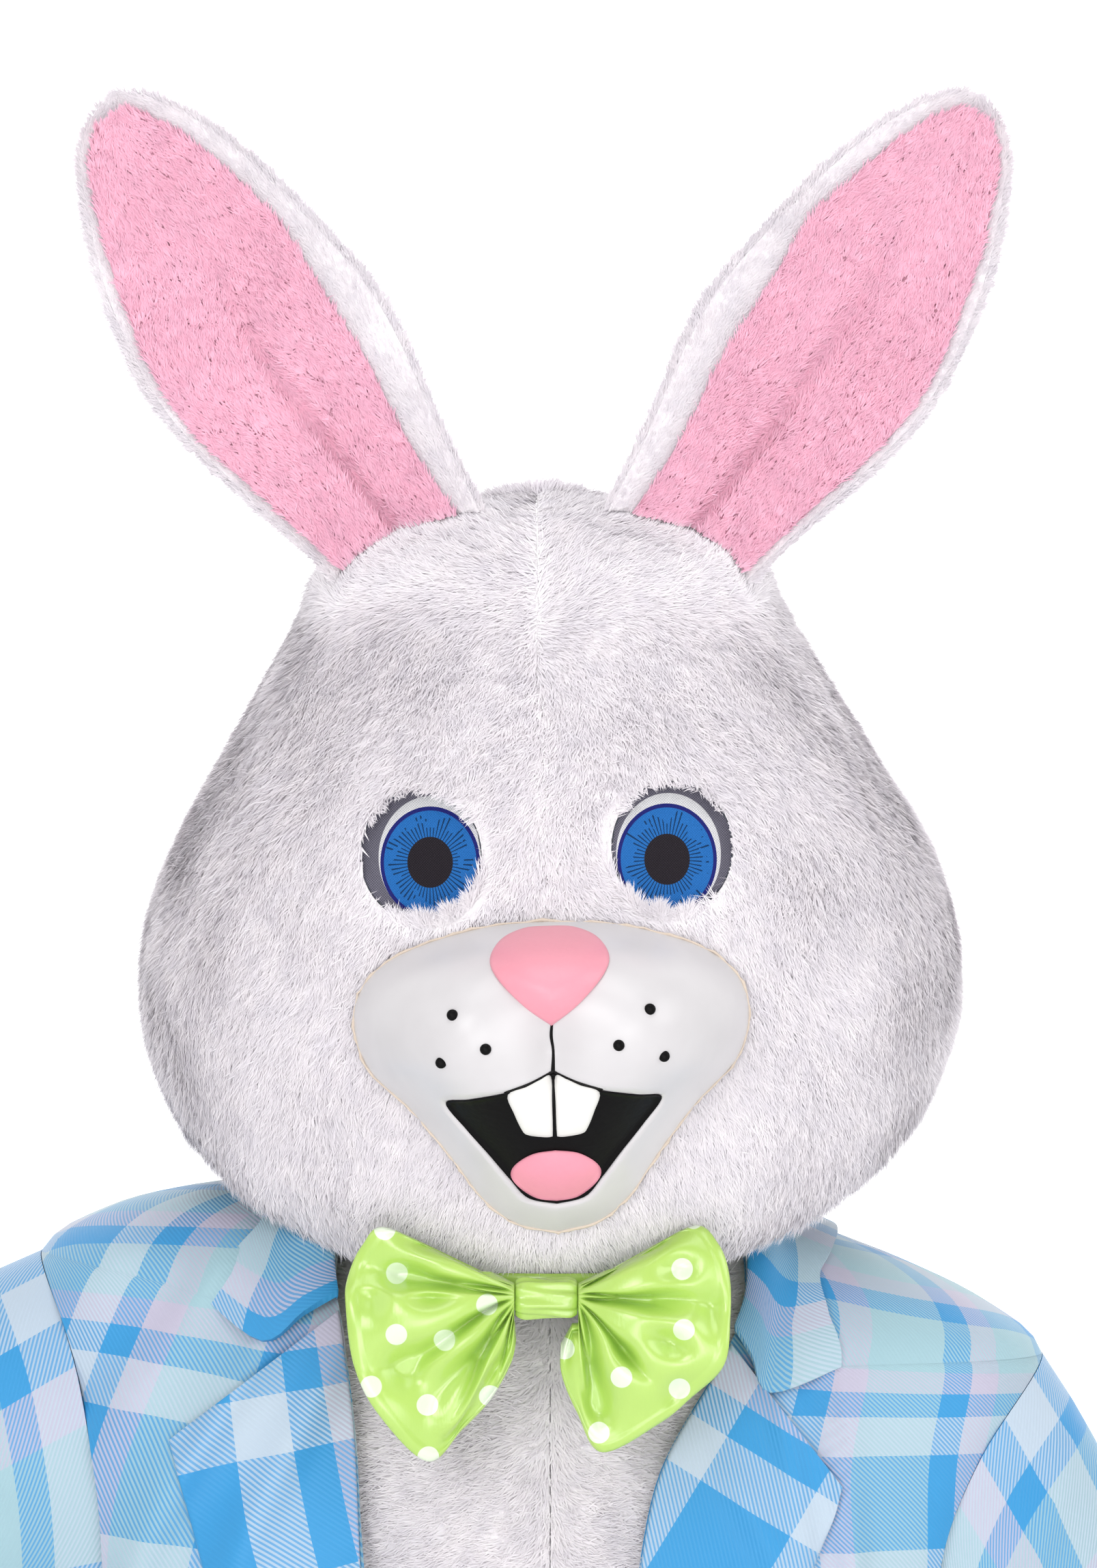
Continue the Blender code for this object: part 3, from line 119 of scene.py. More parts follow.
BUTTON_RADIUS, BUTTON_THICK = 0.010, 0.0032
HOLE_RADIUS, HOLE_OUT = 0.0009, 0.0026     # the button's four holes
BUTTON_X, BUTTON_HEIGHTS = -0.086, (-0.425, -0.535)
BODY_ARM_Z, BODY_ARM_TALL = -0.135, 0.070
BODY_ARM_WIDE = math.radians(30)
KNOT_X, KNOT_Y, KNOT_Z = -0.0018, -0.1580, -0.0262
KNOT_WIDE, KNOT_TALL, KNOT_THICK = 0.0284, 0.0205, 0.0165
BOW_Y = -0.1540
BOW_SWEEP = 0.10
BOW_PUFF = 0.0190
BOW_HEM = 0.0030
# Gathers that run out from the knot: place across, width, depth, reach and bend.
LOBE_FOLDS = {
    -1: ((0.10, 0.030, 0.40, 0.70, 0.03), (0.25, 0.034, 0.62, 1.15, 0.06),
         (0.36, 0.022, 0.46, 0.80, -0.05), (0.47, 0.030, 0.70, 1.20, 0.07),
         (0.58, 0.024, 0.54, 0.85, 0.09), (0.69, 0.032, 0.66, 1.15, -0.07),
         (0.81, 0.026, 0.54, 1.00, 0.04), (0.92, 0.024, 0.42, 0.80, -0.03)),
    1: ((0.09, 0.026, 0.42, 0.80, 0.04), (0.20, 0.030, 0.64, 1.10, -0.05),
        (0.33, 0.026, 0.52, 0.85, 0.08), (0.44, 0.032, 0.70, 1.20, -0.06),
        (0.56, 0.024, 0.54, 0.85, 0.06), (0.67, 0.032, 0.64, 1.15, 0.07),
        (0.80, 0.024, 0.48, 0.85, -0.06), (0.90, 0.026, 0.46, 1.05, 0.02)),
}
# Soft dents further out: place across, place out, their sizes and depth.
LOBE_DENTS = {
    -1: ((0.30, 0.66, 0.05, 0.14, 0.45), (0.56, 0.74, 0.05, 0.14, 0.60),
         (0.80, 0.60, 0.04, 0.14, 0.45), (0.40, 0.50, 0.03, 0.12, 0.39),
         (0.16, 0.72, 0.05, 0.16, 0.51), (0.70, 0.88, 0.05, 0.08, 0.45),
         (0.40, 0.86, 0.04, 0.09, 0.45)),
    1: ((0.28, 0.70, 0.05, 0.14, 0.51), (0.50, 0.64, 0.04, 0.14, 0.57),
        (0.76, 0.70, 0.05, 0.14, 0.51), (0.62, 0.45, 0.04, 0.12, 0.39),
        (0.13, 0.62, 0.05, 0.16, 0.51), (0.40, 0.88, 0.05, 0.08, 0.45),
        (0.60, 0.90, 0.04, 0.09, 0.42)),
}
# The lobes' rims wave to and fro: depth, waves along the rim and start.
RIM_WAVES = {-1: ((0.0038, 2.3, 0.4), (0.0016, 5.1, 1.2)),
             1: ((0.0036, 2.0, 2.2), (0.0016, 4.6, 0.3))}
WHISKER_DOTS = metres((44.2, 106.7), (29.8, 91), (50, 85.3))
# The painted lines, x, z and half width: down from the nose, and along a lip.
PHILTRUM = metres((0.4, 103, 0.5), (-0.3, 96, 0.7), (0.4, 89, 0.6), (0, 80, 0.9))
LIP = metres((0, 79.6, 0.7), (10, 74.5, 0.9), (22, 70.6, 0.7))
CAMERA_PLACE, CAMERA_LENS = (-0.0008, -4.0, 0.2087), 128.65
FLOOR_Z = -1.385
# Soft lights: place, what they face, size, and share of the key's power.
LIGHTS = (
    ("key", (-1.7, -4.5, 1.0), (0, 0, 0.1), 1.9, 0.80),
    ("fill", (1.2, -4.6, -0.35), (0, 0, -0.05), 2.2, 0.42),
    ("low", (-0.2, -3.5, -1.0), (0, -0.1, -0.2), 1.5, 0.30),
    ("side_left", (-3.2, -1.1, 1.3), (0, 0, 0.2), 2.4, 0.20),
    ("side_right", (3.2, -1.1, 1.3), (0, 0, 0.2), 2.4, 0.52),
    ("top", (0.0, -1.3, 3.1), (0, 0, 0.2), 2.4, 0.46),
    ("rear", (0.4, 3.4, 1.6), (0, 0, 0.0), 2.2, 0.16),
)
# Soft creases that the cloth takes in wear: from x, z to x, z, with width and height.
CREASES = metres(
    (-135, -15, -208, -170, 8.5, 8.2), (-112, -30, -185, -215, 7.5, 7),
    (-88, -50, -165, -265, 9, 8), (-50, -120, -170, -345, 11, 7), (-124, -50, -156, -130, 6, -4),
    (-70, -300, -150, -420, 12, 6), (-130, -450, -70, -560, 13, 4), (78, -95, 150, -235, 8.5, 6.2),
    (130, -50, 150, -260, 7, 6.6), (104, -60, 124, -190, 6.5, 4.6), (50, -220, 140, -380, 11, 5.6),
    (110, -330, 60, -470, 13, 4.4))
BACK_CREASES = metres(
    (-110, -70, -30, -170, 12, 3.2), (120, -90, 50, -190, 12, 3), (-140, -200, -60, -330, 14, 3.6),
    (130, -230, 70, -360, 13, 3.4), (-60, -420, -100, -600, 16, 3.4), (80, -440, 110, -650, 16, 3),
    (10, -360, -15, -480, 12, 2.4))
# Drag lines on a sleeve: share of its length, degrees round it, slant, width and height.
SLEEVE_CREASES = (
    (0.12, 90, 0.05, 0.014, 0.0036), (0.22, 60, -0.06, 0.016, 0.0040),
    (0.33, 110, 0.05, 0.014, 0.0034), (0.44, 80, -0.05, 0.016, 0.0044),
    (0.50, 150, 0.04, 0.013, 0.0040), (0.57, 60, 0.06, 0.015, 0.0040),
    (0.30, 250, -0.05, 0.016, 0.0036), (0.46, 270, 0.06, 0.015, 0.0042),
    (0.60, 300, -0.05, 0.016, 0.0036), (0.76, 100, 0.05, 0.016, 0.0028),
    (0.80, 240, -0.04, 0.016, 0.0026),
)
BAND_HALF, BAND_Y = 0.0742, -0.0350
BAND_FRONT, BAND_BACK = 0.1154, 0.1060
BAND_LOW, BAND_HIGH = -0.0241, 0.0122
BAND_WALL, BAND_TALL = 0.0016, 0.0170
BAND_RISE, BAND_SPREAD = 30.0, 42.0
SKIN_DROP = 0.0026       # the pile's backing lies this far under its tips
TUFT_BLADES, TUFT_PULL = 30, 0.40
STRAYS = 0.12            # share of the pile that stands up from the rest
STRAY_LEAN, STRAY_WIDTH = (0.55, 1.0), 0.45
LENGTH_SPREAD, WIDTH_SPREAD = (0.75, 1.15), (0.7, 1.3)
LEAN_LIMITS = (0.1, 1.42)
FRINGE_LEAN, TUFT_LEAN = 1.15, 0.75
COARSE_PILE = (1.3, 3.0)  # length and width on the legs and where the blazer lies over the fur
COARSE_LEAN = 0.10
SEEDS = {"head": 11, "fringes": 53, "glue": 5, "ears": 23, "body": 37}
# Share of the pile count on each panel.
PILE_SHARES = {
    "head front": 0.60, "head back": 0.26, "fringe": 0.016, "tuft": 0.009, "ear front": 0.24,
    "ear back": 0.20, "ear lining": 0.32, "bib": 0.36, "body front": 0.08, "body back": 0.15,
    "leg": 0.17,
}

QUARTER_TURN, WHOLE_TURN = math.pi / 2, 2 * math.pi
FRONT_EDGE = {-1: 4, 1: 5}     # the column of JACKET_ROWS for each front
SIDES = ((-1, "left"), (1, "right"))

# ---------------------------------------------------------------- tables
# The head from its rim to its top: height, half width, and depth in front and behind.
HEAD_ROWS = metres(
    (-14.5, 120, 129, 148), (0, 138, 143, 157), (22, 160.5, 154, 166), (45, 174.5, 160, 172),
    (70, 186.5, 163.5, 177), (95, 194, 165.5, 179.5), (120, 195.5, 167, 182.5),
    (145, 192.5, 166, 183), (170, 185, 162, 180.5), (195, 173, 155.5, 175),
    (220, 157.5, 146, 166.5), (245, 142.5, 134.5, 155), (270, 128.5, 121.5, 141.5),
    (294, 115, 108, 126), (315, 104.5, 94, 109), (332, 77, 70, 80), (344, 40, 38, 43),
    (351, 0, 0, 0))
# Right halves of the face's outlines, x and z, from the top down.
MUZZLE_EDGE = metres(
    (0, 146.5), (26, 145), (52, 139.2), (74, 130), (87, 116.5), (90, 99.5), (83.5, 80.5), (66, 63),
    (53.5, 48), (43.5, 34.5), (33.5, 20.5), (19, 9), (0, 4.5))
NOSE_EDGE = metres(
    (0, 144.6), (11, 144), (21.5, 139.5), (26.8, 131), (23.5, 122), (12, 109.5), (0, 100.5))
MOUTH_EDGE = metres(
    (0, 78.8), (11, 74.2), (22, 70.6), (38, 68), (48.8, 66.3), (40, 54), (30, 42), (21.3, 31),
    (13, 21.5), (0, 18.5))
# The right tooth's outline, all round.
TOOTH_EDGE = metres(
    (1, 77.6), (6, 76.2), (12, 73.3), (20.6, 69.8), (18, 61), (14.8, 53.6), (12.5, 51.2),
    (6.6, 50.1), (1.8, 50), (0.9, 52), (0.8, 65))
TONGUE_EDGE = metres(
    (0, 43.6), (10, 42.2), (18, 37.5), (20.5, 32.2), (16.5, 26.2), (9, 21.2), (0, 19.8))

# Along an ear from its foot to its tip: half-widths on the side towards the other ear
# and away from it, for the fur back and for the pink panel on its front.
EAR_ROWS = metres(
    (0, 42, 29, 33, 23.5), (0.06, 44, 32.5, 31.5, 27), (0.15, 46, 38.5, 30.5, 33.5),
    (0.25, 50, 46.5, 31.5, 40.5), (0.35, 54.5, 54.5, 34.5, 48.5), (0.45, 56, 60, 34.5, 53.5),
    (0.55, 53, 60.5, 34.5, 53.5), (0.65, 47.5, 57, 34.5, 49), (0.75, 41.5, 50.5, 28.5, 43),
    (0.85, 32.5, 40, 20.5, 34), (0.92, 23, 32, 12, 26), (0.97, 13, 21, 3, 15), (1, 4, 8, -4, 8),
    plain=(0,))
# The blazer: height, half width, depth in front and behind, and how far from the middle
# the left and the right front end.
JACKET_ROWS = metres(
    (16, 86, 60, 84, 76, 76), (0, 123, 74, 96, 88, 88), (-18, 169, 88, 107, 97, 91),
    (-38, 209, 102, 115, 98.5, 89), (-62, 234, 115, 121, 93, 77), (-110, 228, 129, 126, 83.5, 50),
    (-170, 206, 139, 128, 78, 38), (-230, 186, 144, 126, 76, 28), (-400, 180, 146, 118, 70, 12),
    (-580, 200, 152, 132, 76, 18), (-740, 214, 156, 142, 88, 32))
# A lapel: height at the roll, heights at the left and the right one's edge, and their widths.
LAPEL_ROWS = metres(
    (-50.5, -120.5, -115.5, 62, 51), (-74, -142, -137, 57.5, 58), (-112, -176, -174, 54, 63.5),
    (-168, -230, -230, 47, 60), (-240, -294, -294, 37, 48), (-320, -358, -358, 22, 28),
    (-398, -408, -408, 6, 6))
# The collar from its notch to the back of the neck: the foot's row and degrees, the height of
# the fold, and degrees and row at the leaf's middle and at its edge.
COLLAR_ROWS = (
    (3.45, 0, 0.0030, 23.5, 4.30, 33.0, 4.02),
    (2.70, 0, 0.0060, 26.0, 3.30, 35.0, 3.05),
    (1.70, 0, 0.0110, 36.0, 2.10, 41.0, 2.25),
    (0.80, 0, 0.0160, 50.0, 1.20, 54.0, 1.72),
    (0.00, 66, 0.0200, 69.0, 0.72, 70.0, 1.40),
    (0.00, 88, 0.0230, 88.0, 0.62, 88.0, 1.26),
    (0.00, 115, 0.0260, 115.0, 0.62, 115.0, 1.24),
    (0.00, 148, 0.0280, 148.0, 0.70, 148.0, 1.32),
    (0.00, 180, 0.0290, 180.0, 0.76, 180.0, 1.38),
)
# A sleeve from the cap to the cuff: x, y, z, degrees that it leans, and its half sizes.
HANGING_SLEEVE = metres(
    (240, 0, -222, 8, 50, 70), (250, 2, -300, 8, 52, 68), (264, -4, -400, 8, 53, 64),
    (274, -22, -500, 6, 50, 60), (280, -46, -610, 3, 48, 57), plain=(3,))
RAISED_SLEEVE = metres(
    (302, 0, -152, 47, 60, 70), (360, 0, -206, 46, 59, 68), (430, -10, -282, 38, 58, 65),
    (478, -35, -385, 20, 53, 61), (500, -70, -490, 8, 49, 57), plain=(3,))
# The bodysuit: height, half width, and depth in front and behind.
BODY_ROWS = metres(
    (3, 72, 56, 66), (-0.2, 109, 68.5, 84), (-16.2, 151, 84.5, 98), (-45.5, 186.5, 100.5, 107),
    (-120, 186, 117, 110), (-190, 172, 124, 112), (-280, 165, 126, 108), (-400, 160, 125, 101),
    (-550, 174, 128, 110), (-680, 186, 130, 118), (-760, 188, 128, 118))
# A leg: height, distance from the middle, half width, and depth in front and behind.
LEG_ROWS = metres(
    (-760.5, 94.5, 93.5, 127, 117), (-830, 98, 93, 118, 112), (-950, 103, 90, 106, 104),
    (-1100, 107, 85, 96, 98), (-1250, 109, 82, 92, 95), (-1380, 110, 85, 95, 98))
# Folds that the solids have too: from x, z to x, z, with width and height.
FRONT_FOLDS = metres(
    (-110, -60, -235, -250, 20, 6), (-150, -50, -225, -160, 14, -5),
    (-185, -30, -240, -120, 12, 4.5), (-130, -200, -180, -420, 22, 5),
    (190, -110, 150, -330, 18, 4.5), (215, -90, 200, -200, 12, -4), (120, -420, 80, -640, 24, 5))
# The bow's lobes, x and z, from the knot's top round to its foot.
RIGHT_LOBE = metres(
    (25, -13.5), (40, -8), (65.5, 7), (77, -1.5), (81.8, -16), (82, -35), (79, -56), (64, -71.5),
    (50, -83), (23.5, -96.5), (12, -78), (5, -60), (4.8, -47))
LEFT_LOBE = metres(
    (-27, -14), (-41, -11), (-74.5, 6.5), (-86, -2), (-92.5, -16.5), (-93.2, -29), (-89.5, -56),
    (-78.5, -78), (-56, -100.5), (-40, -86), (-27, -72), (-18, -56), (-15.5, -45))


# ---------------------------------------------------------------- reading tables
def smooth(rows, at):
    """A smooth curve through a table's rows, read at fractional row numbers."""
    rows = np.asarray(rows, float)
    last = len(rows) - 1
    at = np.clip(np.asarray(at, float), 0, last)
    start = np.minimum(at.astype(int), last - 1)
    part = (at - start)[..., None]
    before, here = rows[np.maximum(start - 1, 0)], rows[start]
    there, after = rows[start + 1], rows[np.minimum(start + 2, last)]
    return here + 0.5 * part * (
        there - before + part * (
            2 * before - 5 * here + 4 * there - after
            + part * (3 * (here - there) + after - before)))


def columns(rows, at):
    return np.moveaxis(smooth(rows, at), -1, 0)


def row_at(rows, z):
    """The fractional row whose first column is z."""
    at = np.linspace(0, len(rows) - 1, 60 * len(rows))
    heights = smooth(rows, at)[:, 0]
    order = np.argsort(heights)
    return np.interp(z, heights[order], at[order])


def smoothstep(value):
    value = np.clip(value, 0, 1)
    return value * value * (3 - 2 * value)


def power(value, exponent):
    return np.sign(value) * np.abs(value) ** exponent


def closed_outline(half, count):
    """A symmetric outline of `count` points, smooth through the right half's points."""
    right = smooth(half, np.linspace(0, len(half) - 1, count // 2 + 1))
    return np.vstack((right, right[1:-1][::-1] * (-1, 1)))


def ring_outline(points, count):
    points = np.asarray(points, float)
    looped = np.vstack((points[-1:], points, points[:2]))
    return smooth(looped, 1 + np.linspace(0, len(points), count, endpoint=False))


def unit(vectors):
    return vectors / np.maximum(np.linalg.norm(vectors, axis=-1, keepdims=True), 1e-12)


def spots(*parts):
    """Arrays of each coordinate, spread over one another's shape, as one array of points."""
    return np.stack(np.broadcast_arrays(*parts), -1)


def upright(plan, y):
    """Points of a plan in X and Z, each at its depth y."""
    return spots(plan[..., 0], y, plan[..., 1])


def hold_off(points, axis, side, plane=0.0):
    """Keep points half a gap or more on their own side of a plane across an axis."""
    if side:
        points[..., axis] = side * np.maximum(side * points[..., axis], side * plane + GAP / 2)


def even_turns(count):
    """Even angles right round, the last one short of the first."""
    return np.linspace(0, WHOLE_TURN, count, endpoint=False)


# ---------------------------------------------------------------- meshes
def object_from(name, points, faces, finish, uvs=None):
    """A piece at the origin with its place in its mesh; faces index points, uvs go by corner."""
    points, faces = np.asarray(points, np.float32), np.asarray(faces, np.int32)
    mesh = bpy.data.meshes.new(name)
    mesh.vertices.add(len(points))
    mesh.vertices.foreach_set("co", points.ravel())
    sides = faces.shape[1]
    mesh.loops.add(faces.size)
    mesh.loops.foreach_set("vertex_index", faces.ravel())
    mesh.polygons.add(len(faces))
    mesh.polygons.foreach_set("loop_start", np.arange(0, faces.size, sides, dtype=np.int32))
    if uvs is not None:
        layer = mesh.uv_layers.new(name="UVMap")
        layer.uv.foreach_set("vector", np.asarray(uvs, np.float32).ravel())
    mesh.update(calc_edges=True)
    mesh.shade_smooth()
    mesh.materials.append(bpy.data.materials[finish])
    piece = bpy.data.objects.new(name, mesh)
    bpy.context.scene.collection.objects.link(piece)
    return piece


def quads(rows, count, wrap):
    """Corners of a grid's quads, and the same corners in a grid with one column more."""
    i, j = np.meshgrid(np.arange(rows - 1), np.arange(count if wrap else count - 1), indexing="ij")
    i, j = i.ravel(), j.ravel()
    beside = (j + 1) % count
    wide = count + (1 if wrap else 0)
    here, below = i * count, (i + 1) * count
    corners = np.stack((here + j, here + beside, below + beside, below + j), 1)
    here, below = i * wide + j, (i + 1) * wide + j
    return corners, np.stack((here, here + 1, below + 1, below), 1)


def outward(points, faces):
    """The same faces, turned over if the closed form they make is inside out."""
    a = points[faces[:, 0]]
    volume = sum(np.sum(np.cross(points[faces[:, k]] - a, points[faces[:, k + 1]] - a) * a)
                 for k in range(1, faces.shape[1] - 1))
    return faces if volume > 0 else faces[:, ::-1]


def shell(name, outer, inner, finish, wrap=False, uv=None, pole=False):
    """A closed wall between two grids of points, with the same cloth map on both sides.

    With pole, the last row is one point on each side and has no edge to close.
    """
    if pole:
        outer, inner = outer.copy(), inner.copy()
        outer[-1], inner[-1] = outer[-1].mean(0), inner[-1].mean(0)
    rows, count = outer.shape[:2]
    total = rows * count
    wide = count + (1 if wrap else 0)
    corners, places = quads(rows, count, wrap)
    faces, maps = [corners, corners[:, ::-1] + total], [places, places[:, ::-1]]
    j = np.arange(count if wrap else count - 1)
    for row, turn in ((0, 1), (rows - 1, -1))[:1 if pole else 2]:
        here, beside = row * count + j, row * count + (j + 1) % count
        edge = np.stack((here, here + total, beside + total, beside), 1)[:, ::turn]
        place = row * wide + j
        faces.append(edge)
        maps.append(np.stack((place, place, place + 1, place + 1), 1)[:, ::turn])
    if not wrap:
        i = np.arange(rows - 1)
        for column, turn in ((0, -1), (count - 1, 1)):
            here, below = i * count + column, (i + 1) * count + column
            faces.append(np.stack((here, here + total, below + total, below), 1)[:, ::turn])
            maps.append(faces[-1] % total)
    faces, maps = np.vstack(faces), np.vstack(maps)
    points = np.vstack((outer.reshape(-1, 3), inner.reshape(-1, 3)))
    turned_out = outward(points, faces)
    maps = maps if turned_out is faces else maps[:, ::-1]
    faces = turned_out
    corners_uv = None if uv is None else uv.reshape(-1, 2)[maps.ravel()]
    piece = object_from(name, points, faces, finish, corners_uv)
    if pole:
        select_only(piece)
        bpy.ops.object.mode_set(mode="EDIT")
        bpy.ops.mesh.select_all(action="SELECT")
        bpy.ops.mesh.remove_doubles(threshold=1e-6)
        bpy.ops.object.mode_set(mode="OBJECT")
    return piece


def grid_normals(points, wrap, middle):
    if wrap:
        across = np.roll(points, -1, axis=1) - np.roll(points, 1, axis=1)
    else:
        across = np.gradient(points, axis=1)
    normal = unit(np.cross(across, np.gradient(points, axis=0)))
    facing = np.sum(normal * (points - middle), axis=2, keepdims=True)
    return np.where(facing < 0, -normal, normal)


def cloth_map(points, wrap, anchor_row, anchor_column):
    """Distances along the cloth in metres, zero at one row and one column of the grid."""
    closed = np.concatenate((points, points[:, :1]), 1) if wrap else points
    across = np.linalg.norm(np.diff(closed, axis=1), axis=2)
    along = np.linalg.norm(np.diff(closed, axis=0), axis=2)
    u = np.concatenate((np.zeros((len(closed), 1)), np.cumsum(across, 1)), 1)
    v = np.concatenate((np.zeros((1, closed.shape[1])), np.cumsum(along, 0)), 0)
    return spots(u - u[:, anchor_column, None], v - v[anchor_row])


def cut_from(name, uv):
    """A panel's own distances turned into distances along the check."""
    first, second, start = (np.array(row) for row in PLAIDS[name])
    return spots(uv @ first, uv @ second) + start


def crisp(piece):
    """Smooth cloth with hard edges where it ends."""
    select_only(piece)
    bpy.ops.object.shade_smooth_by_angle(angle=math.radians(48))
    return piece


def dress(piece, finish):
    piece.data.materials.clear()
    piece.data.materials.append(bpy.data.materials[finish])


def select_only(piece):
    bpy.ops.object.select_all(action="DESELECT")
    piece.select_set(True)
    bpy.context.view_layer.objects.active = piece


def apply_all(piece):
    select_only(piece)
    for modifier in list(piece.modifiers):
        bpy.ops.object.modifier_apply(modifier=modifier.name)


def keep(piece, slot, *nodes):
    """Put a finished piece on the costume's one body, in the place of its solids."""
    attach(piece, "root")
    if nodes:
        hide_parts(*nodes)
    return piece


# ---------------------------------------------------------------- finishes
class Finish:
    """A material with its surface shader, and short words for adding nodes."""

    def __init__(self, name, rough, **sockets):
        self.material = bpy.data.materials.new(name)
        self.material.use_nodes = True
        self.tree = self.material.node_tree
        self.shader = self.tree.nodes["Principled BSDF"]
        self.shader.inputs["Roughness"].default_value = rough
        for socket, value in sockets.items():
            self.shader.inputs[socket.replace("_", " ")].default_value = value

    def node(self, kind, inputs, output=0, **settings):
        made = self.tree.nodes.new("ShaderNode" + kind)
        for setting, value in settings.items():
            setattr(made, setting, value)
        for key, value in inputs.items():
            if isinstance(value, bpy.types.NodeSocket):
                self.tree.links.new(value, made.inputs[key])
            else:
                made.inputs[key].default_value = value
        return made.outputs[output]

    def math(self, operation, *values):
        return self.node("Math", dict(enumerate(values)), operation=operation)

    def coords(self, kind="Object"):
        return self.node("TexCoord", {}, kind)

    def split(self, vector):
        made = self.node("SeparateXYZ", {0: vector}).node
        return made.outputs[0], made.outputs[1], made.outputs[2]

    def mapped(self, vector, place=(0, 0, 0), turn=(0, 0, 0), scale=(1, 1, 1)):
        return self.node("Mapping", {0: vector, 1: place, 2: turn, 3: scale})

    def noise(self, vector, scale, detail=2.0, rough=0.5):
        return self.node("TexNoise", {"Vector": vector, "Scale": scale, "Detail": detail,
                                      "Roughness": rough}, "Fac")

    def ramp(self, factor, stops, stepped=False):
        output = self.node("ValToRGB", {0: factor})
        band = output.node.color_ramp
        band.interpolation = "CONSTANT" if stepped else "LINEAR"
        while len(band.elements) < len(stops):
            band.elements.new(0.5)
        for element, (at, colour) in zip(band.elements, stops):
            element.position = at
            element.color = tuple(colour) + (1,)
        return output

    def mix(self, factor, first, second, blend="MIX"):
        values = {0: factor, 6: first, 7: second}
        values = {k: (tuple(v) + (1,) if isinstance(v, tuple) and len(v) == 3 else v)
                  for k, v in values.items()}
        return self.node("Mix", values, 2, data_type="RGBA", blend_type=blend)

    def patches(self, place, scale, low, high=(1, 1, 1)):
        """Slow changes between two tones."""
        return self.ramp(self.noise(place, scale, 3), ((0.3, low), (0.7, high)))

    def colour(self, value):
        self.tree.links.new(value, self.shader.inputs["Base Color"])
        return self

    def bump(self, height, distance, strength=1.0):
        normal = self.node("Bump", {"Strength": strength, "Distance": distance, "Height": height})
        self.tree.links.new(normal, self.shader.inputs["Normal"])
        return self

    def dots(self, plane, places, radius, edge=0.0003):
        """1 inside round dots at the given places of a plane's first two axes."""
        nearest = None
        for u, v in places:
            away = self.node("VectorMath", {0: plane, 1: (u, v, 0)}, 1, operation="DISTANCE")
            nearest = away if nearest is None else self.math("MINIMUM", nearest, away)
        return self.math("MULTIPLY_ADD", nearest, -1 / edge, 0.5 + radius / edge)

    def inside(self, vector, middle, half):
        """Distance from an ellipse's middle in X and Z, 1 on its edge."""
        (x, z), (wide, tall) = middle, half
        shaped = self.mapped(vector, (-x / wide, 0, -z / tall), (0, 0, 0), (1 / wide, 0, 1 / tall))
        return self.node("VectorMath", {0: shaped}, 1, operation="LENGTH"), shaped


def linear(red, green, blue):
    """A screen colour, 0 to 255, as the shader's linear one."""
    values = np.array((red, green, blue)) / 255
    bright = ((values + 0.055) / 1.055) ** 2.4
    return tuple(map(float, np.where(values <= 0.04045, values / 12.92, bright)))


def darker(colour, share):
    return tuple(share * channel for channel in colour)


def fur_finish(name, tip, root):
    """Soft pile: painted shade makes it greyer towards its roots; slow patches and fine clumps."""
    made = Finish(name, 0.85, Sheen_Weight=0.25, Sheen_Roughness=0.6, Specular_IOR_Level=0.15)
    place = made.coords()
    along = made.split(made.coords("UV"))[1]
    # painted shade: each blade darkens from its tip colour down to the root colour
    shade = made.mix(made.ramp(along, ((0.0, (0, 0, 0)), (0.75, (1, 1, 1)))), root, tip)
    clump = made.patches(place, 90, (0.90, 0.90, 0.92))
    return made.colour(made.mix(1.0, shade, clump, "MULTIPLY"))


def skin_finish(name, tone):
    """The thick of the pile, seen between its upper blades."""
    made = Finish(name, 0.9, Sheen_Weight=0.2, Sheen_Roughness=0.6, Specular_IOR_Level=0.1)
    place = made.coords()
    grain, tufts = made.noise(place, 480, 3), made.noise(place, 95, 2)
    made.colour(made.mix(grain, darker(tone, 0.90), tone))
    return made.bump(made.math("MULTIPLY_ADD", tufts, 2.0, grain), 0.0016, 0.7)


BLUE, WHITE = linear(52, 148, 206), linear(184, 200, 215)
MINT, PINK = linear(158, 192, 202), linear(188, 184, 204)
# The repeat of the check, in metres of each coloured thread, the same both ways.
SETT = ((0.048, BLUE), (0.024, WHITE), (0.016, BLUE), (0.017, PINK), (0.041, MINT), (0.016, BLUE),
        (0.017, PINK), (0.041, MINT), (0.016, BLUE), (0.024, WHITE))
TWILL = 0.0026
TWILL_STEPS = ((0.0, 0.20), (0.42, 0.20), (0.52, 0.80), (0.90, 0.80), (1.0, 0.20))


def plaid_finish(name):
    """Twill: at each point the warp's or the weft's coloured thread is on top."""
    made = Finish(name, 0.5, Sheen_Weight=0.15, Sheen_Roughness=0.4, Specular_IOR_Level=0.4)
    u, v, _ = made.split(made.coords("UV"))
    period = sum(width for width, _ in SETT)
    edges = np.cumsum([0] + [width for width, _ in SETT]) / period
    stops = [(float(at), colour) for at, (_, colour) in zip(edges, SETT)]
    threads = []
    for along in (u, v):
        place = made.math("FRACT", made.math("DIVIDE", along, period))
        threads.append(made.ramp(place, stops, stepped=True))
    step = made.math("FRACT", made.math("DIVIDE", made.math("ADD", u, v), TWILL))
    on_top = made.ramp(step, [(at, (tone, tone, tone)) for at, tone in TWILL_STEPS])
    cloth = made.mix(on_top, threads[0], threads[1])
    wear = made.patches(made.coords(), 14, (0.95, 0.95, 0.96))
    made.colour(made.mix(1.0, cloth, wear, "MULTIPLY"))
    ridge = made.math("ABSOLUTE", made.math("SUBTRACT", step, 0.5))
    return made.bump(ridge, 0.0006, 0.5)


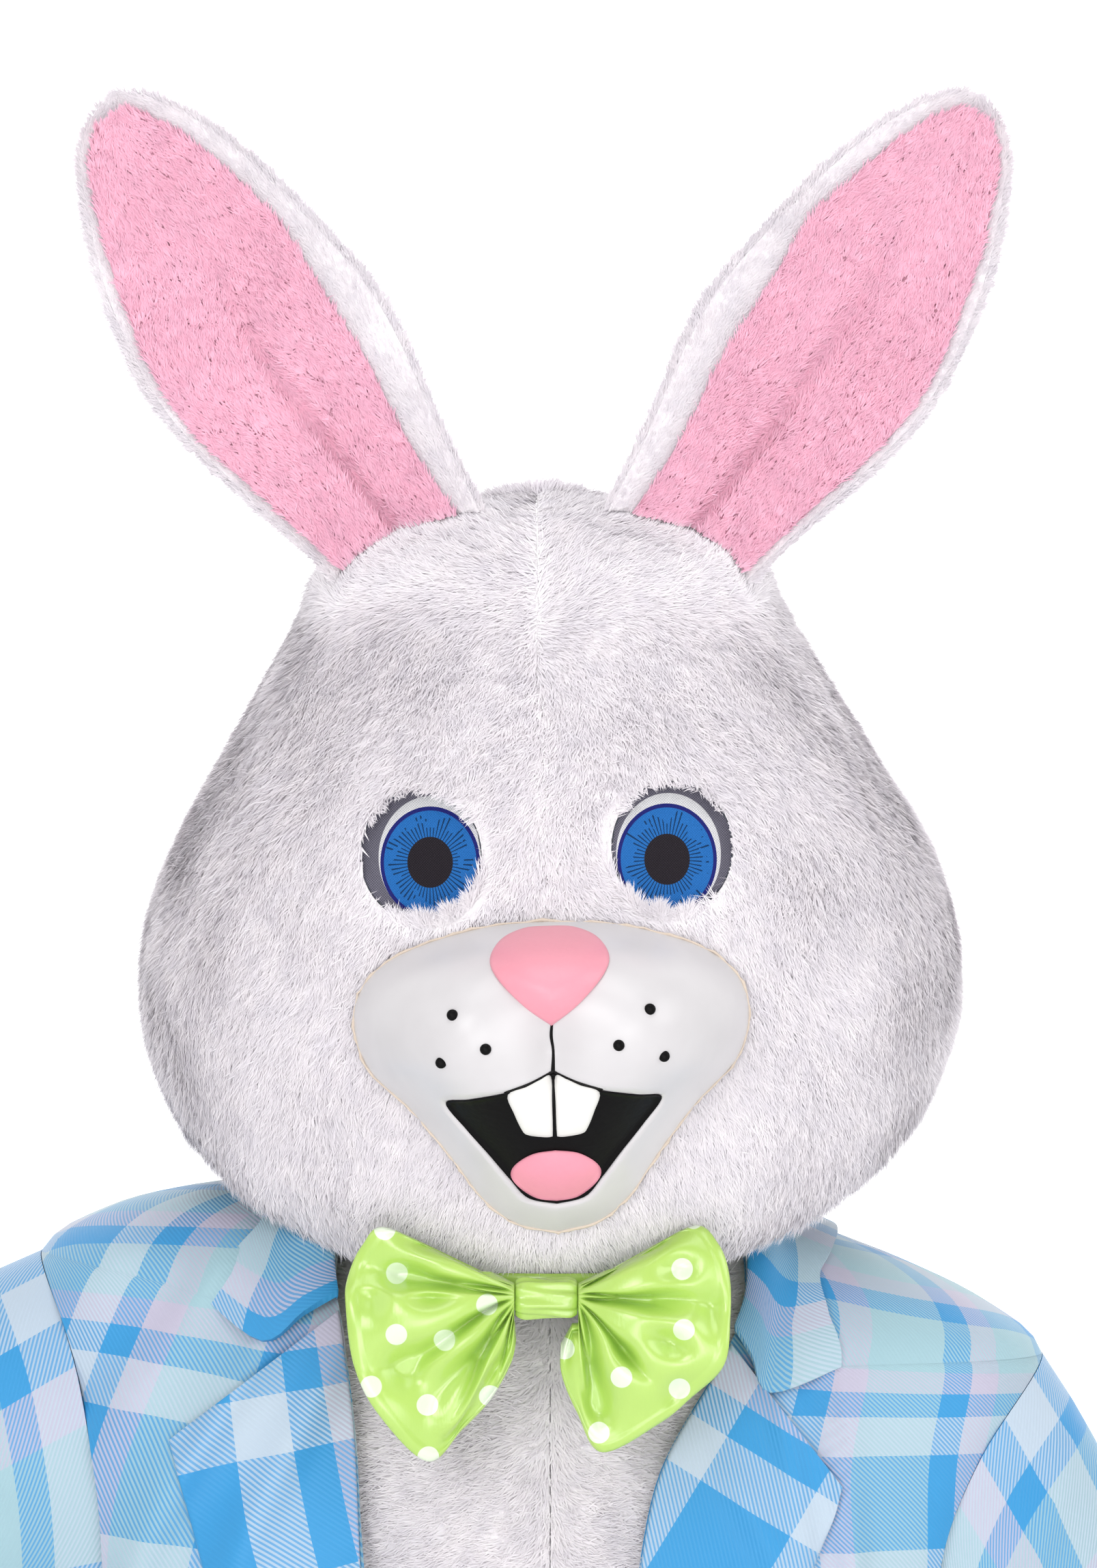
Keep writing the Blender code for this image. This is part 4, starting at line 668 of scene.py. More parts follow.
SATIN_DOT = 0.0049       # radius of the bow's white dots
LEFT_DOTS = metres(
    (-75.4, 5.9), (-70, -14.3), (-28.8, -28.3), (-70, -41.6), (-48.2, -44.4), (-81.6, -65.6),
    (-56, -74.3), (-27.6, -70.3), (-55.7, -98.3))
RIGHT_DOTS = metres(
    (65.3, 10.6), (60.1, -12.2), (60.8, -39.5), (32.4, -61.3), (6.2, -48.8), (58.9, -66.9),
    (22.2, -87.4))


def satin_finish(name, green, places=()):
    """Woven satin: a soft gloss, fine ribs across and white dots."""
    made = Finish(name, 0.27, Specular_IOR_Level=0.85, Coat_Weight=0.30, Coat_Roughness=0.22)
    place = made.coords()
    patchy = made.patches(place, 22, (0.90, 0.94, 0.84))
    cloth = made.mix(1.0, green, patchy, "MULTIPLY")
    if len(places):
        printed = made.dots(made.coords("UV"), places, SATIN_DOT)
        cloth = made.mix(made.math("MINIMUM", made.math("MAXIMUM", printed, 0.0), 1.0), cloth,
                         linear(226, 240, 212))
    made.colour(cloth)
    ribs = made.noise(made.mapped(place, scale=(900, 400, 260)), 1.0, 2)
    return made.bump(ribs, 0.0003, 0.25)


def formed_finish():
    """Thin satin-gloss formed shell."""
    made = Finish("formed", 0.34, Specular_IOR_Level=0.5, Coat_Weight=0.12, Coat_Roughness=0.3)
    place = made.coords()
    made.colour(made.patches(place, 30, linear(206, 203, 205), linear(213, 210, 212)))
    return made.bump(made.noise(place, 55, 2), 0.002, 0.12)


def plain_finish(name, colour, rough, grain=300, depth=0.0004, spread=0.9, shine=0.4):
    """One colour with a fine grain and slow changes of tone."""
    made = Finish(name, rough, Specular_IOR_Level=shine)
    place = made.coords()
    fine, slow = made.noise(place, grain, 3), made.noise(place, 18, 2)
    tone = made.mix(slow, darker(colour, spread), colour)
    made.colour(made.mix(made.math("MULTIPLY", fine, 0.25), tone, darker(colour, 0.8)))
    return made.bump(fine, depth, 0.6)


def eye_finish(name, iris_middle, white_middle, blue):
    """A woven eye: dark mesh, a white crescent, and a rayed iris with its pupil."""
    made = Finish(name, 0.6, Specular_IOR_Level=0.12)
    place = made.coords()
    x, _, z = made.split(made.mapped(place, scale=(EYE_WEAVE, EYE_WEAVE, EYE_WEAVE)))
    weave = made.math("MULTIPLY", made.math("SINE", x), made.math("SINE", z))

    def woven(reach, middle, dark, light):
        return made.mix(made.math("MULTIPLY_ADD", weave, reach, middle), dark, light)

    white_edge, _ = made.inside(place, white_middle, EYE_WHITE)
    mesh = woven(0.5, 0.5, linear(64, 62, 76), linear(124, 122, 134))
    pale = woven(0.5, 0.5, linear(178, 178, 182), linear(228, 228, 230))
    cloth = made.mix(made.math("LESS_THAN", white_edge, 1.0), mesh, pale)
    away, shaped = made.inside(place, iris_middle, EYE_IRIS)
    sx, _, sz = made.split(shaped)
    angle = made.math("MULTIPLY", made.math("ARCTAN2", sz, sx), EYE_RAYS / WHOLE_TURN)
    off = made.math("ABSOLUTE", made.math("SUBTRACT", made.math("FRACT", angle), 0.5))
    ragged = made.noise(made.mapped(place, scale=(160, 160, 160)), 1.0, 1)
    reach = made.math("MULTIPLY_ADD", ragged, 0.9, 0.30)
    rays = made.math("MULTIPLY", made.math("LESS_THAN", off, 0.16),
                     made.math("LESS_THAN", away, reach))
    iris = woven(0.18, 0.22, blue, darker(blue, 0.30))
    iris = made.mix(made.math("MULTIPLY", rays, 0.92), iris, darker(blue, 0.16))
    cloth = made.mix(made.math("LESS_THAN", away, IRIS_RIM), cloth, linear(30, 34, 108))
    cloth = made.mix(made.math("LESS_THAN", away, IRIS_INSIDE), cloth, iris)
    pupil = woven(0.4, 0.5, linear(16, 13, 17), linear(46, 40, 48))
    cloth = made.mix(made.math("LESS_THAN", away, PUPIL), cloth, pupil)
    made.colour(cloth)
    return made.bump(weave, 0.0003, 0.5)


# How each panel is cut from the check: the shares of its two distances that make the
# distances along the check, and where the check starts, metres.
PLAIDS = {
    "plaid_left": ((1.0, 0.36), (0.0, -1.0), (0.037, -0.010)),
    "plaid_right": ((1.0, -0.27), (0.0, -1.0), (-0.040, -0.023)),
    "plaid_back": ((1.0, 0.0), (0.0, -1.0), (0.0, -0.016)),
    "plaid_sleeve_left": ((1.0, 0.0), (0.0, -1.0), (0.020, 0.0)),
    "plaid_sleeve_right": ((1.0, 0.0), (0.0, -1.0), (0.020, 0.0)),
    "plaid_lapel_left": ((0.96, 0.27), (-0.39, 0.92), (0.207, 0.111)),
    "plaid_lapel_right": ((0.85, -0.53), (0.53, 0.85), (-0.118, 0.107)),
    "plaid_collar": ((-1.0, 0.0), (0.0, 1.0), (0.058, 0.141)),
}
EYE_WHITE, EYE_IRIS = (0.0240, 0.0278), (0.0222, 0.0247)
EYE_WEAVE, EYE_RAYS = 5200.0, 54
IRIS_RIM, IRIS_INSIDE, PUPIL = 1.03, 0.955, 0.47       # shares of the iris


def make_finishes(looks):
    """Every material of the costume."""
    white, pink, green, blue = map(tuple, (looks.white, looks.pink, looks.satin, looks.iris))
    # the second colour of each pile is painted shade at its roots
    fur_finish("white_pile", white, darker(white, 0.92))
    fur_finish("pink_pile", pink, darker(pink, 0.90))
    skin_finish("white_backing", white)
    skin_finish("pink_backing", pink)
    formed_finish()
    plain_finish("glue", linear(222, 206, 190), 0.75, 500, 0.001)
    plain_finish("nose", linear(240, 158, 174), 0.38, 380, 0.0002)
    plain_finish("tongue", linear(240, 156, 174), 0.45, 380, 0.0002)
    plain_finish("ink", linear(13, 12, 13), 0.42, 300, 0.0003, shine=0.10)
    plain_finish("tooth", linear(238, 236, 233), 0.4, 200, 0.0002, 0.96)
    plain_finish("button", linear(96, 156, 216), 0.28, 160, 0.0002, 0.8, 0.5)
    eye_finish("eye_left_weave", (-0.0548, 0.1730), (-0.0545, 0.1754), blue)
    eye_finish("eye_right_weave", (0.0533, 0.1744), (0.0540, 0.1768), blue)
    satin_finish("satin_left", green, LEFT_DOTS)
    satin_finish("satin_right", green, RIGHT_DOTS)
    satin_finish("satin_plain", green)
    for name in PLAIDS:
        plaid_finish(name)


# ---------------------------------------------------------------- pile
def scatter(surface, count, rng, keep_at=None, cells=48):
    """The a and b of even random places on a surface(a, b)."""
    edges = np.linspace(0, 1, cells + 1)
    a, b = np.meshgrid(edges, edges, indexing="ij")
    corner = surface(a, b)
    area = np.linalg.norm(np.cross(corner[1:, :-1] - corner[:-1, :-1],
                                   corner[:-1, 1:] - corner[:-1, :-1]), axis=2).ravel()
    made_a, made_b = np.zeros(0), np.zeros(0)
    while len(made_a) < count:
        cell = rng.choice(area.size, size=int(count * 1.3), p=area / area.sum())
        a = (cell // cells + rng.random(len(cell))) / cells
        b = (cell % cells + rng.random(len(cell))) / cells
        if keep_at is not None:
            good = keep_at(surface(a, b), a, b)
            a, b = a[good], b[good]
        made_a, made_b = np.concatenate((made_a, a)), np.concatenate((made_b, b))
    return made_a[:count], made_b[:count]


def frame_at(surface, middle, a, b):
    """Places on a surface, outward normals and the direction in which b grows."""
    step = 0.002
    b_in = np.clip(b, step, 1 - 4 * step)
    here = surface(a, b)
    across = surface(np.minimum(a + step, 1), b_in) - surface(np.maximum(a - step, 0), b_in)
    along = surface(a, b_in + step) - surface(a, b_in - step)
    normal = unit(np.cross(across, along))
    facing = np.sum(normal * (here - middle), axis=-1, keepdims=True)
    return here, np.where(facing < 0, -normal, normal), unit(along)


def clump_pull(here):
    """From each place towards the middle of the tuft that it belongs to."""
    middles = here[:max(1, len(here) // TUFT_BLADES)]
    tree = mathutils.kdtree.KDTree(len(middles))
    for index, middle in enumerate(middles):
        tree.insert(middle, index)
    tree.balance()
    return np.array([tree.find(place)[0] for place in here]) - here


def swirl(here, seed, size):
    """Slow, smooth directions over the fur, about -1 to 1 on each axis."""
    rng = np.random.default_rng(seed)
    total = np.zeros_like(here)
    for _ in range(6):
        wave, turn = rng.normal(0, 1 / size, (3, 3)), rng.uniform(0, WHOLE_TURN, 3)
        total += np.sin(here @ wave + turn)
    return total / 3


def pile_on(looks, panel):
    return int(looks.pile_count * PILE_SHARES[panel])


def pile(name, looks, rng, here, normal, nap, length=1.0, width=1.0, lean=None, colour="white"):
    """One narrow blade of plush for each place, drawn into small tufts along the nap.

    length and width are shares of the usual ones.
    """
    count = len(here)
    lean = looks.pile_lean if lean is None else lean
    length = looks.pile_length * length * rng.uniform(*LENGTH_SPREAD, count)
    length = length * (1 + 0.16 * swirl(here, 3, 0.010)[:, 0])
    lean = lean + rng.normal(0, 0.07, count) + 0.10 * swirl(here, 4, 0.014)[:, 1]
    stray = rng.random(count) < STRAYS
    lean = np.clip(np.where(stray, rng.uniform(*STRAY_LEAN, count), lean), *LEAN_LIMITS)
    turn = rng.normal(0, 0.35, count) + 0.34 * swirl(here, 5, 0.016)[:, 2]
    flat = unit(nap - np.sum(nap * normal, axis=1, keepdims=True) * normal)
    side = np.cross(normal, flat)
    heading = flat * np.cos(turn)[:, None] + side * np.sin(turn)[:, None]
    blade = normal * np.cos(lean)[:, None] + heading * np.sin(lean)[:, None]
    edge = np.cross(blade, normal)
    width = looks.blade_width * width * rng.uniform(*WIDTH_SPREAD, count)
    width = width * np.where(stray, STRAY_WIDTH, 1)
    edge = unit(edge) * width[:, None] / 2
    root = here - normal * SKIN_DROP
    pull = clump_pull(here)
    pull -= np.sum(pull * normal, axis=1, keepdims=True) * normal
    tip = root + blade * length[:, None] + TUFT_PULL * pull
    points = np.stack((root - edge, root + edge, tip), 1).reshape(-1, 3)
    faces = np.arange(3 * count).reshape(-1, 3)
    # v runs from the root, 0, to the tip, 1, and carries the painted shade at the roots
    maps = np.tile(np.array(((0, 0), (1, 0), (0.5, 1))), (count, 1))
    return keep(object_from(name, points, faces, colour + "_pile", maps), colour + "_fur")


# ---------------------------------------------------------------- head
def tilted(points):
    """The head's lean to one side."""
    points = np.array(points, float)
    x, z = points[..., 0].copy(), points[..., 2] - TILT_HEIGHT
    points[..., 0] = x * math.cos(HEAD_TILT) - z * math.sin(HEAD_TILT)
    points[..., 2] = TILT_HEIGHT + x * math.sin(HEAD_TILT) + z * math.cos(HEAD_TILT)
    return points


def section(table, turn, squareness=SECTION_POWER, y=0.0):
    """Points round a level section, from its height, half width and depths; turn 0 is in front."""
    z, half, front, back = table[:4]
    depth = np.where(np.cos(turn) > 0, front, back)
    return spots(half * power(np.sin(turn), 2 / squareness),
                 y - depth * power(np.cos(turn), 2 / squareness), z)


def head_surface(angle, row):
    return section(columns(HEAD_ROWS, row), angle, 2, HEAD_Y)


def neck_rim(angle):
    rise = np.where(np.cos(angle) > 0, np.sin(angle) ** 8, 1 - NAPE_DROP * np.cos(angle) ** 2)
    return row_at(HEAD_ROWS, HEAD_ROWS[0][0] + RIM_LIFT * rise)


def cheek_seam(angle):
    return row_at(HEAD_ROWS, 0.136 + 0.046 * np.sin(angle) ** 2)


def crown_top(angle):
    return np.full_like(angle, len(HEAD_ROWS) - 1.0)


def face_y(x, z):
    """Where the face's fur lies at x, z."""
    _, half, front, _ = columns(HEAD_ROWS, row_at(HEAD_ROWS, z))
    return HEAD_Y - front * np.sqrt(np.maximum(1 - (x / half) ** 2, 0))


HEAD_MIDDLE = np.array((0, HEAD_Y, 0.15))
CUTTER_SPAN = (-0.30, HEAD_Y - 0.06)


def head_patch(side, back, low, high):
    """surface(a, b) of one fur panel, a running away from the middle seam."""
    def surface(a, b):
        angle = side * QUARTER_TURN * (2 - a if back else a)
        bottom, top = low(angle), high(angle)
        return head_surface(angle, bottom + b * (top - bottom))
    return surface


def head_panels():
    for side, word in SIDES:
        yield "head_crown_" + word, side, False, cheek_seam, crown_top
        yield "head_cheek_" + word, side, False, neck_rim, cheek_seam
        yield "head_back_" + word, side, True, neck_rim, crown_top


def skin_grid(surface, middle, rows, count, drop, wall):
    """A backing's outer and inner grids, the given depths under the pile's tips."""
    a, b = np.meshgrid(np.linspace(0, 1, count), np.linspace(0, 1, rows))
    here, normal, _ = frame_at(surface, middle, a, b)
    return here - drop * normal, here - wall * normal


def prism(name, outline, near, far):
    """A closed cutter along Y with the head's lean, removed after use."""
    count = len(outline)
    rings = [upright(outline, y) for y in (near, far)]
    points = tilted(np.vstack(rings + [rings[0].mean(0), rings[1].mean(0)]))
    here, beside = np.arange(count), (np.arange(count) + 1) % count
    near_middle, far_middle = np.full_like(here, 2 * count), np.full_like(here, 2 * count + 1)
    faces = np.vstack([np.stack(corners, 1) for corners in (
        (here, beside, beside + count), (here, beside + count, here + count),
        (beside, here, near_middle), (here + count, beside + count, far_middle))])
    return object_from(name, points, outward(points, faces), "white_backing")


def discard(tools):
    for tool in tools:
        bpy.data.objects.remove(tool, do_unlink=True)


def cut_away(piece, tools):
    for tool in tools:
        boolean = piece.modifiers.new("hole", "BOOLEAN")
        boolean.operation, boolean.object, boolean.solver = "DIFFERENCE", tool, "EXACT"
    apply_all(piece)


def eye_outline(side, count=48):
    turn = even_turns(count)
    return spots(side * EYE_X + EYE_WIDE * np.cos(turn), EYE_Z + EYE_TALL * np.sin(turn))


def muzzle_share(x, z):
    """Distance from the muzzle's middle as a share of its outline, by direction."""
    angle = np.arctan2(x, z - MUZZLE_Z)
    return np.hypot(x, z - MUZZLE_Z) / np.interp(angle, *MUZZLE_REACH, period=WHOLE_TURN)


EYE_CLEAR, EYE_SQUARENESS = 0.003, 2.3
MUZZLE_CLEAR = 0.965     # share of the muzzle's outline that has no fur under it


def bare_face(here, a, b):
    """True where fur grows: not in the eyes and not under the formed muzzle."""
    x, z = here[..., 0], here[..., 2]
    across = (np.abs(x) - EYE_X + EYE_CLEAR) / (EYE_WIDE + EYE_CLEAR)
    up = (z - EYE_Z - 0.0005) / (EYE_TALL + 0.002)
    in_eye = np.abs(across) ** EYE_SQUARENESS + np.abs(up) ** EYE_SQUARENESS < 1.0
    in_muzzle = muzzle_share(x, z) < MUZZLE_CLEAR
    front = here[..., 1] < HEAD_Y
    return ~(front & (in_eye | in_muzzle))


FRONT_RINGS, BACK_RINGS, PANEL_COLUMNS = 30, 44, 26
SEAM_SPAN, SEAM_TRIM = 0.006, 0.14     # the pile is trimmed by this share along the middle seam
BACK_BLADES = 1.5        # wider blades behind


def make_head(looks):
    hole = np.array((0, MUZZLE_Z)) + MUZZLE_HOLE * (closed_outline(MUZZLE_EDGE, 96) - (0, MUZZLE_Z))
    tools = [prism("face_cutter", outline, *CUTTER_SPAN)
             for outline in (eye_outline(-1), eye_outline(1), hole)]
    rng = np.random.default_rng(SEEDS["head"])
    for name, side, back, low, high in head_panels():
        surface = head_patch(side, back, low, high)
        rows = BACK_RINGS if back else FRONT_RINGS
        outer, inner = skin_grid(surface, HEAD_MIDDLE, rows, PANEL_COLUMNS, SKIN_DROP,
                                 HEAD_WALL)
        behind = 1 if back else -1
        for wall in (outer, inner):
            hold_off(wall, 0, side)
            hold_off(wall, 1, behind, HEAD_Y)
        skin = shell(name + "_panel", tilted(outer), tilted(inner), "white_backing")
        if not back:
            cut_away(skin, tools)
        keep(skin, "white_fur", name)
        count = pile_on(looks, "head back" if back else "head front")
        a, b = scatter(surface, count, rng, None if back else bare_face)
        here, normal, _ = frame_at(surface, HEAD_MIDDLE, a, b)
        here, normal = tilted(here), unit(tilted(here + normal) - tilted(here))
        flow = nap_of_head(here)
        seam = np.minimum(np.abs(here[:, 0]) / SEAM_SPAN, 1)
        pile(name + "_pile", looks, rng, here, normal, flow, 1 - SEAM_TRIM + SEAM_TRIM * seam,
             BACK_BLADES if back else 1.0)
    discard(tools)


PARTING_X = -0.006       # where the pile parts to the sides
CROWN_Z, CROWN_SPAN = 0.225, 0.115     # where it turns outwards, and over what height
FOOT_MARGIN, FOOT_BLEND, FOOT_DEPTH = 0.014, 0.012, 0.024    # round the feet of the ears
FOOT_START, FOOT_END = 0.14, 0.30      # shares of an ear, below its foot and above it


def nap_of_head(here):
    """The pile runs down the face, outwards on the crown, and up over the feet of the ears."""
    side_of = np.sign(here[:, 0] - PARTING_X)
    high = smoothstep((here[:, 2] - CROWN_Z) / CROWN_SPAN)
    out = np.maximum(0.35 * smoothstep(np.abs(here[:, 0]) / 0.030), high) * side_of
    ahead = np.clip((here[:, 1] - HEAD_Y) / 0.07, -1, 1)
    flow = spots(out * (1 + 0.6 * high), (0.4 - 0.3 * high) * ahead, -np.cos(2.5 * high))
    for side in (-1, 1):
        foot, along, outward, forward = ear_axes(side)
        away = here - foot
        share = away @ along / (along @ along)
        table = columns(EAR_ROWS, row_at(EAR_ROWS, share))
        reach, before = away @ outward, np.abs(away @ forward)
        beside = (smoothstep((reach + table[1] + FOOT_MARGIN) / FOOT_BLEND)
                  * smoothstep((table[2] + FOOT_MARGIN - reach) / FOOT_BLEND)
                  * smoothstep((FOOT_DEPTH - before) / FOOT_BLEND) * (share < FOOT_END))
        turn = (smoothstep((share + FOOT_START) / FOOT_START) * beside)[:, None]
        flow = flow + turn * (unit(along) - flow)
    return flow


def face_frame(x, z):
    """Places on the face with their outward normals."""
    step = 0.001
    slope_x = (face_y(x + step, z) - face_y(x - step, z)) / (2 * step)
    slope_z = (face_y(x, z + step) - face_y(x, z - step)) / (2 * step)
    return spots(x, face_y(x, z), z), unit(spots(slope_x, -1, slope_z))


LOW_FRINGE, TOP_REACH = 0.78, 0.62     # share of a fringe from below, and how long the rest is


def make_fringes(looks):
    """Tufts over the rims of the eyes, thickest from below, and one on the crown."""
    rng = np.random.default_rng(SEEDS["fringes"])
    for side, word in SIDES:
        count = pile_on(looks, "fringe")
        low = rng.random(count) < LOW_FRINGE
        turn = np.where(low, rng.normal(-90 - 18 * side, 24, count), rng.uniform(30, 150, count))
        turn = np.radians(turn)
        out = rng.uniform(0.98, 1.12, count)
        x = side * EYE_X + EYE_WIDE * out * np.cos(turn)
        z = EYE_Z + EYE_TALL * out * np.sin(turn)
        here, normal = face_frame(x, z)
        drift = 0.35 * np.sin(x * 900) + rng.normal(0, 0.25, count)
        inward = spots(drift, 0, np.where(low, 1.0, -0.4))
        inward[~low, 0] = -0.8 * np.cos(turn[~low])
        reach = np.where(low, 0.95 + 0.30 * np.sin(x * 500 + side), TOP_REACH)
        pile("eye_fringe_" + word, looks, rng, tilted(here), normal, inward, reach, 0.8,
             FRINGE_LEAN)
    count = pile_on(looks, "tuft")
    turn, out = rng.uniform(0, WHOLE_TURN, count), np.sqrt(rng.random(count))
    x, y = 0.024 * out * np.cos(turn), -0.006 + 0.014 * out * np.sin(turn)
    here = spots(x, HEAD_Y + y, 0.3505 - 0.0045 * out ** 2)
    normal = spots(0.5 * out * np.cos(turn), 0.5 * out * np.sin(turn) - 0.5, 1)
    nap = spots(np.cos(turn), 0.3, 0.4)
    pile("head_tuft", looks, rng, tilted(here), unit(normal), nap, 0.90, 1.0, TUFT_LEAN)


def make_eyes(_):
    for _, word in SIDES:
        dress(bpy.data.objects["eye_" + word], "eye_%s_weave" % word)


# ---------------------------------------------------------------- muzzle
def reach_of(edge, middle, count):
    """Directions round a middle, and how far a symmetric outline lies in each."""
    away = closed_outline(edge, count) - (0, middle)
    angle = np.arctan2(away[:, 0], away[:, 1])
    order = np.argsort(angle)
    return angle[order], np.hypot(away[:, 0], away[:, 1])[order]


MUZZLE_REACH = reach_of(MUZZLE_EDGE, MUZZLE_Z, 240)


def edge_distance(x, z, edge, middle):
    """Distance to a symmetric outline, positive inside it."""
    outline = closed_outline(edge, 80)
    run = np.roll(outline, -1, axis=0) - outline
    point = spots(x, z)[..., None, :]
    share = np.clip(np.sum((point - outline) * run, -1) / np.sum(run * run, -1), 0, 1)
    nearest = np.min(np.linalg.norm(outline + share[..., None] * run - point, axis=-1), -1)
    reach = np.interp(np.arctan2(x, z - middle), *reach_of(edge, middle, 80), period=WHOLE_TURN)
    return np.where(np.hypot(x, z - middle) < reach, nearest, -nearest)


def muzzle_rise(x, z):
    share = np.minimum(muzzle_share(x, z), 1)
    height = CHIN_RISE + FACE_RISE * smoothstep((z - 0.020) / 0.070)
    rise = height * np.sin(QUARTER_TURN * (1 - share ** 2.6))
    pad = np.exp(-((np.abs(x) - PAD_PLACE[0]) / PAD_SIZE) ** 2
                 - ((z - PAD_PLACE[1]) / PAD_SIZE) ** 2)
    groove = np.exp(-(x / GROOVE_WIDE) ** 2)
    groove = groove * smoothstep((0.112 - z) / 0.02) * smoothstep((z - 0.06) / 0.02)
    recess = smoothstep((edge_distance(x, z, MOUTH_EDGE, MOUTH_MIDDLE) + 0.002) / 0.004)
    return rise + PAD_RISE * pad - GROOVE_DEEP * groove - MOUTH_DEPTH * recess


def muzzle_front(x, z):
    return face_y(x, z) - REST_GAP - MUZZLE_WALL - muzzle_rise(x, z)


GLUE_SIDES, GLUE_RADIUS, GLUE_STRAY = 7, 0.0007, 0.00025


def make_muzzle(_):
    """The formed face, one thin shell, with a rough glued edge."""
    outline = closed_outline(MUZZLE_EDGE, 160)
    shares = np.concatenate((np.linspace(1, 0.9, 9)[:-1], np.linspace(0.9, 0.02, 50)))
    flat = np.array((0, MUZZLE_Z)) + shares[:, None, None] * (outline - (0, MUZZLE_Z))
    outer = upright(flat, muzzle_front(flat[..., 0], flat[..., 1]))
    normal = grid_normals(outer, True, np.array((0, 0.05, MUZZLE_Z)))
    inner = outer - MUZZLE_WALL * 0.8 * normal
    inner[0] = outer[0] + (0, MUZZLE_WALL, 0)
    keep(shell("muzzle_form", tilted(outer), tilted(inner), "formed", wrap=True, pole=True),
         "formed_white", "muzzle")
    rng = np.random.default_rng(SEEDS["glue"])
    edge = tilted(outer[0])
    turn = even_turns(GLUE_SIDES)
    radius = GLUE_RADIUS * rng.uniform(0.6, 1.5, len(edge))[:, None]
    middle = edge + rng.normal(0, GLUE_STRAY, edge.shape)
    outward = unit(edge - edge.mean(0))
    ring = (middle[:, None] + radius[..., None] * (np.cos(turn)[:, None] * outward[:, None]
            + np.sin(turn)[:, None] * np.array((0, -1.0, 0))))
    points = ring.reshape(-1, 3)
    corners, _ = quads(len(edge) + 1, GLUE_SIDES, True)
    keep(object_from("muzzle_seam", points, corners % len(points), "glue"), "white_fur")


def patch(name, outline, middle, rise, finish, rings, back, slot, node):
    """A piece lying on the formed face: rings shrink from its outline to its middle."""
    shares = np.linspace(1, 0.04, rings)
    middle = np.asarray(middle, float)
    flat = middle + shares[:, None, None] * (outline - middle)
    y = muzzle_front(flat[..., 0], flat[..., 1])
    height = back + rise(1 - shares)[:, None]
    walls = (tilted(upright(flat, y - lift)) for lift in (height, back))
    keep(shell(name, *walls, finish, wrap=True, pole=True), slot, node)


def dome(rim, gain, quick=1.0):
    """A rise from a rim's height, the quicker the steeper."""
    return lambda inside: rim + gain * np.sin(QUARTER_TURN * np.minimum(1, quick * inside)) ** 0.8


def make_mouth(_):
    """Nose, dark mouth, two teeth, tongue and whisker dots on the formed face."""
    patch("nose_form", closed_outline(NOSE_EDGE, 72), (0, NOSE_MIDDLE), dome(0.0010, 0.0080, 1.3),
          "nose", 18, 0.0002, "nose_pink", "nose")
    patch("mouth_paint", closed_outline(MOUTH_EDGE, 96), (0, MOUTH_MIDDLE), dome(0.0007, 0.0),
          "ink", 20, 0.0002, "black", "mouth")
    for side, word in SIDES:
        edge = ring_outline([(side * x, z) for x, z in TOOTH_EDGE], 48)
        patch("tooth_form_" + word, edge, edge.mean(axis=0),
              lambda inside: 0.0012 + 0.0020 * np.minimum(1, 3 * inside) ** 0.5,
              "tooth", 10, 0.0006, "formed_white", "tooth_" + word)
    patch("tongue_form", closed_outline(TONGUE_EDGE, 60), (0, TONGUE_MIDDLE), dome(0.0012, 0.0050),
          "tongue", 14, 0.0006, "nose_pink", "tongue")
    dots = []
    for side in (-1, 1):
        for x, z in WHISKER_DOTS:
            y = float(muzzle_front(np.array(side * x), np.array(z)))
            place = tilted(np.array((side * x, y - 0.0003, z)))
            bpy.ops.mesh.primitive_uv_sphere_add(segments=20, ring_count=12, radius=DOT_RADIUS,
                                                 location=place)
            bpy.ops.transform.resize(value=(1, 0.70, 1))
            bpy.ops.object.transform_apply(location=True, rotation=True, scale=True)
            bpy.ops.object.shade_smooth()
            dots.append(bpy.context.object)
    select_only(dots[0])
    for dot in dots:
        dot.select_set(True)
    bpy.ops.object.join()
    dots[0].name = "whisker_dots"
    dress(dots[0], "ink")
    keep(dots[0], "black")


# ---------------------------------------------------------------- ears
def ear_axes(side):
    foot = np.array((EAR_X + side * EAR_FOOT[0], EAR_FOOT[1], EAR_FOOT[2]))
    tip = np.array((EAR_X + side * EAR_TIP[0], EAR_TIP[1], EAR_TIP[2]))
    along = tip - foot
    outward = unit(np.array((side * along[2], 0, -side * along[0])))
    outward *= np.sign(outward[0] * side)
    forward = np.cross(unit(along), outward)
    return foot, along, outward, forward * -np.sign(forward[1])


def ear_surface(side, row, reach_share, edge_columns, depth):
    """A point of an ear: reach_share runs from -1, towards the other ear, to 1."""
    foot, along, outward, forward = ear_axes(side)
    table = columns(EAR_ROWS, row)
    inner, outer = table[edge_columns[0]], table[edge_columns[1]]
    reach = (outer - inner) / 2 + reach_share * (outer + inner) / 2
    full = np.maximum(np.where(reach > 0, table[2], table[1]), 0.004)
    cup = EAR_CUP * np.minimum(np.abs(reach) / full, 1.0) ** 2 * np.minimum(full / 0.05, 1)
    return (foot + table[0][..., None] * along + reach[..., None] * outward
            + (cup + depth(reach_share, table[0]))[..., None] * forward)


def ear_back_depth(share, along):
    bulge = (EAR_WALL - 0.002) * np.sqrt(np.maximum(0, 1 - share * share))
    return -(0.002 + bulge) * (1 - 0.4 * along)


def pink_depth(share, along):
    crease = 0.0042 * np.exp(-((share + 0.10) / 0.10) ** 2) * smoothstep((0.85 - along) / 0.5)
    return REST_GAP + 0.0012 + PINK_WALL * np.sqrt(np.maximum(0, 1 - share ** 4)) - crease


EAR_COLUMNS, EAR_RINGS = 27, 60
EAR_THIN, EAR_NARROW = 0.80, 0.955     # the backing's share of the whole ear, pile and all


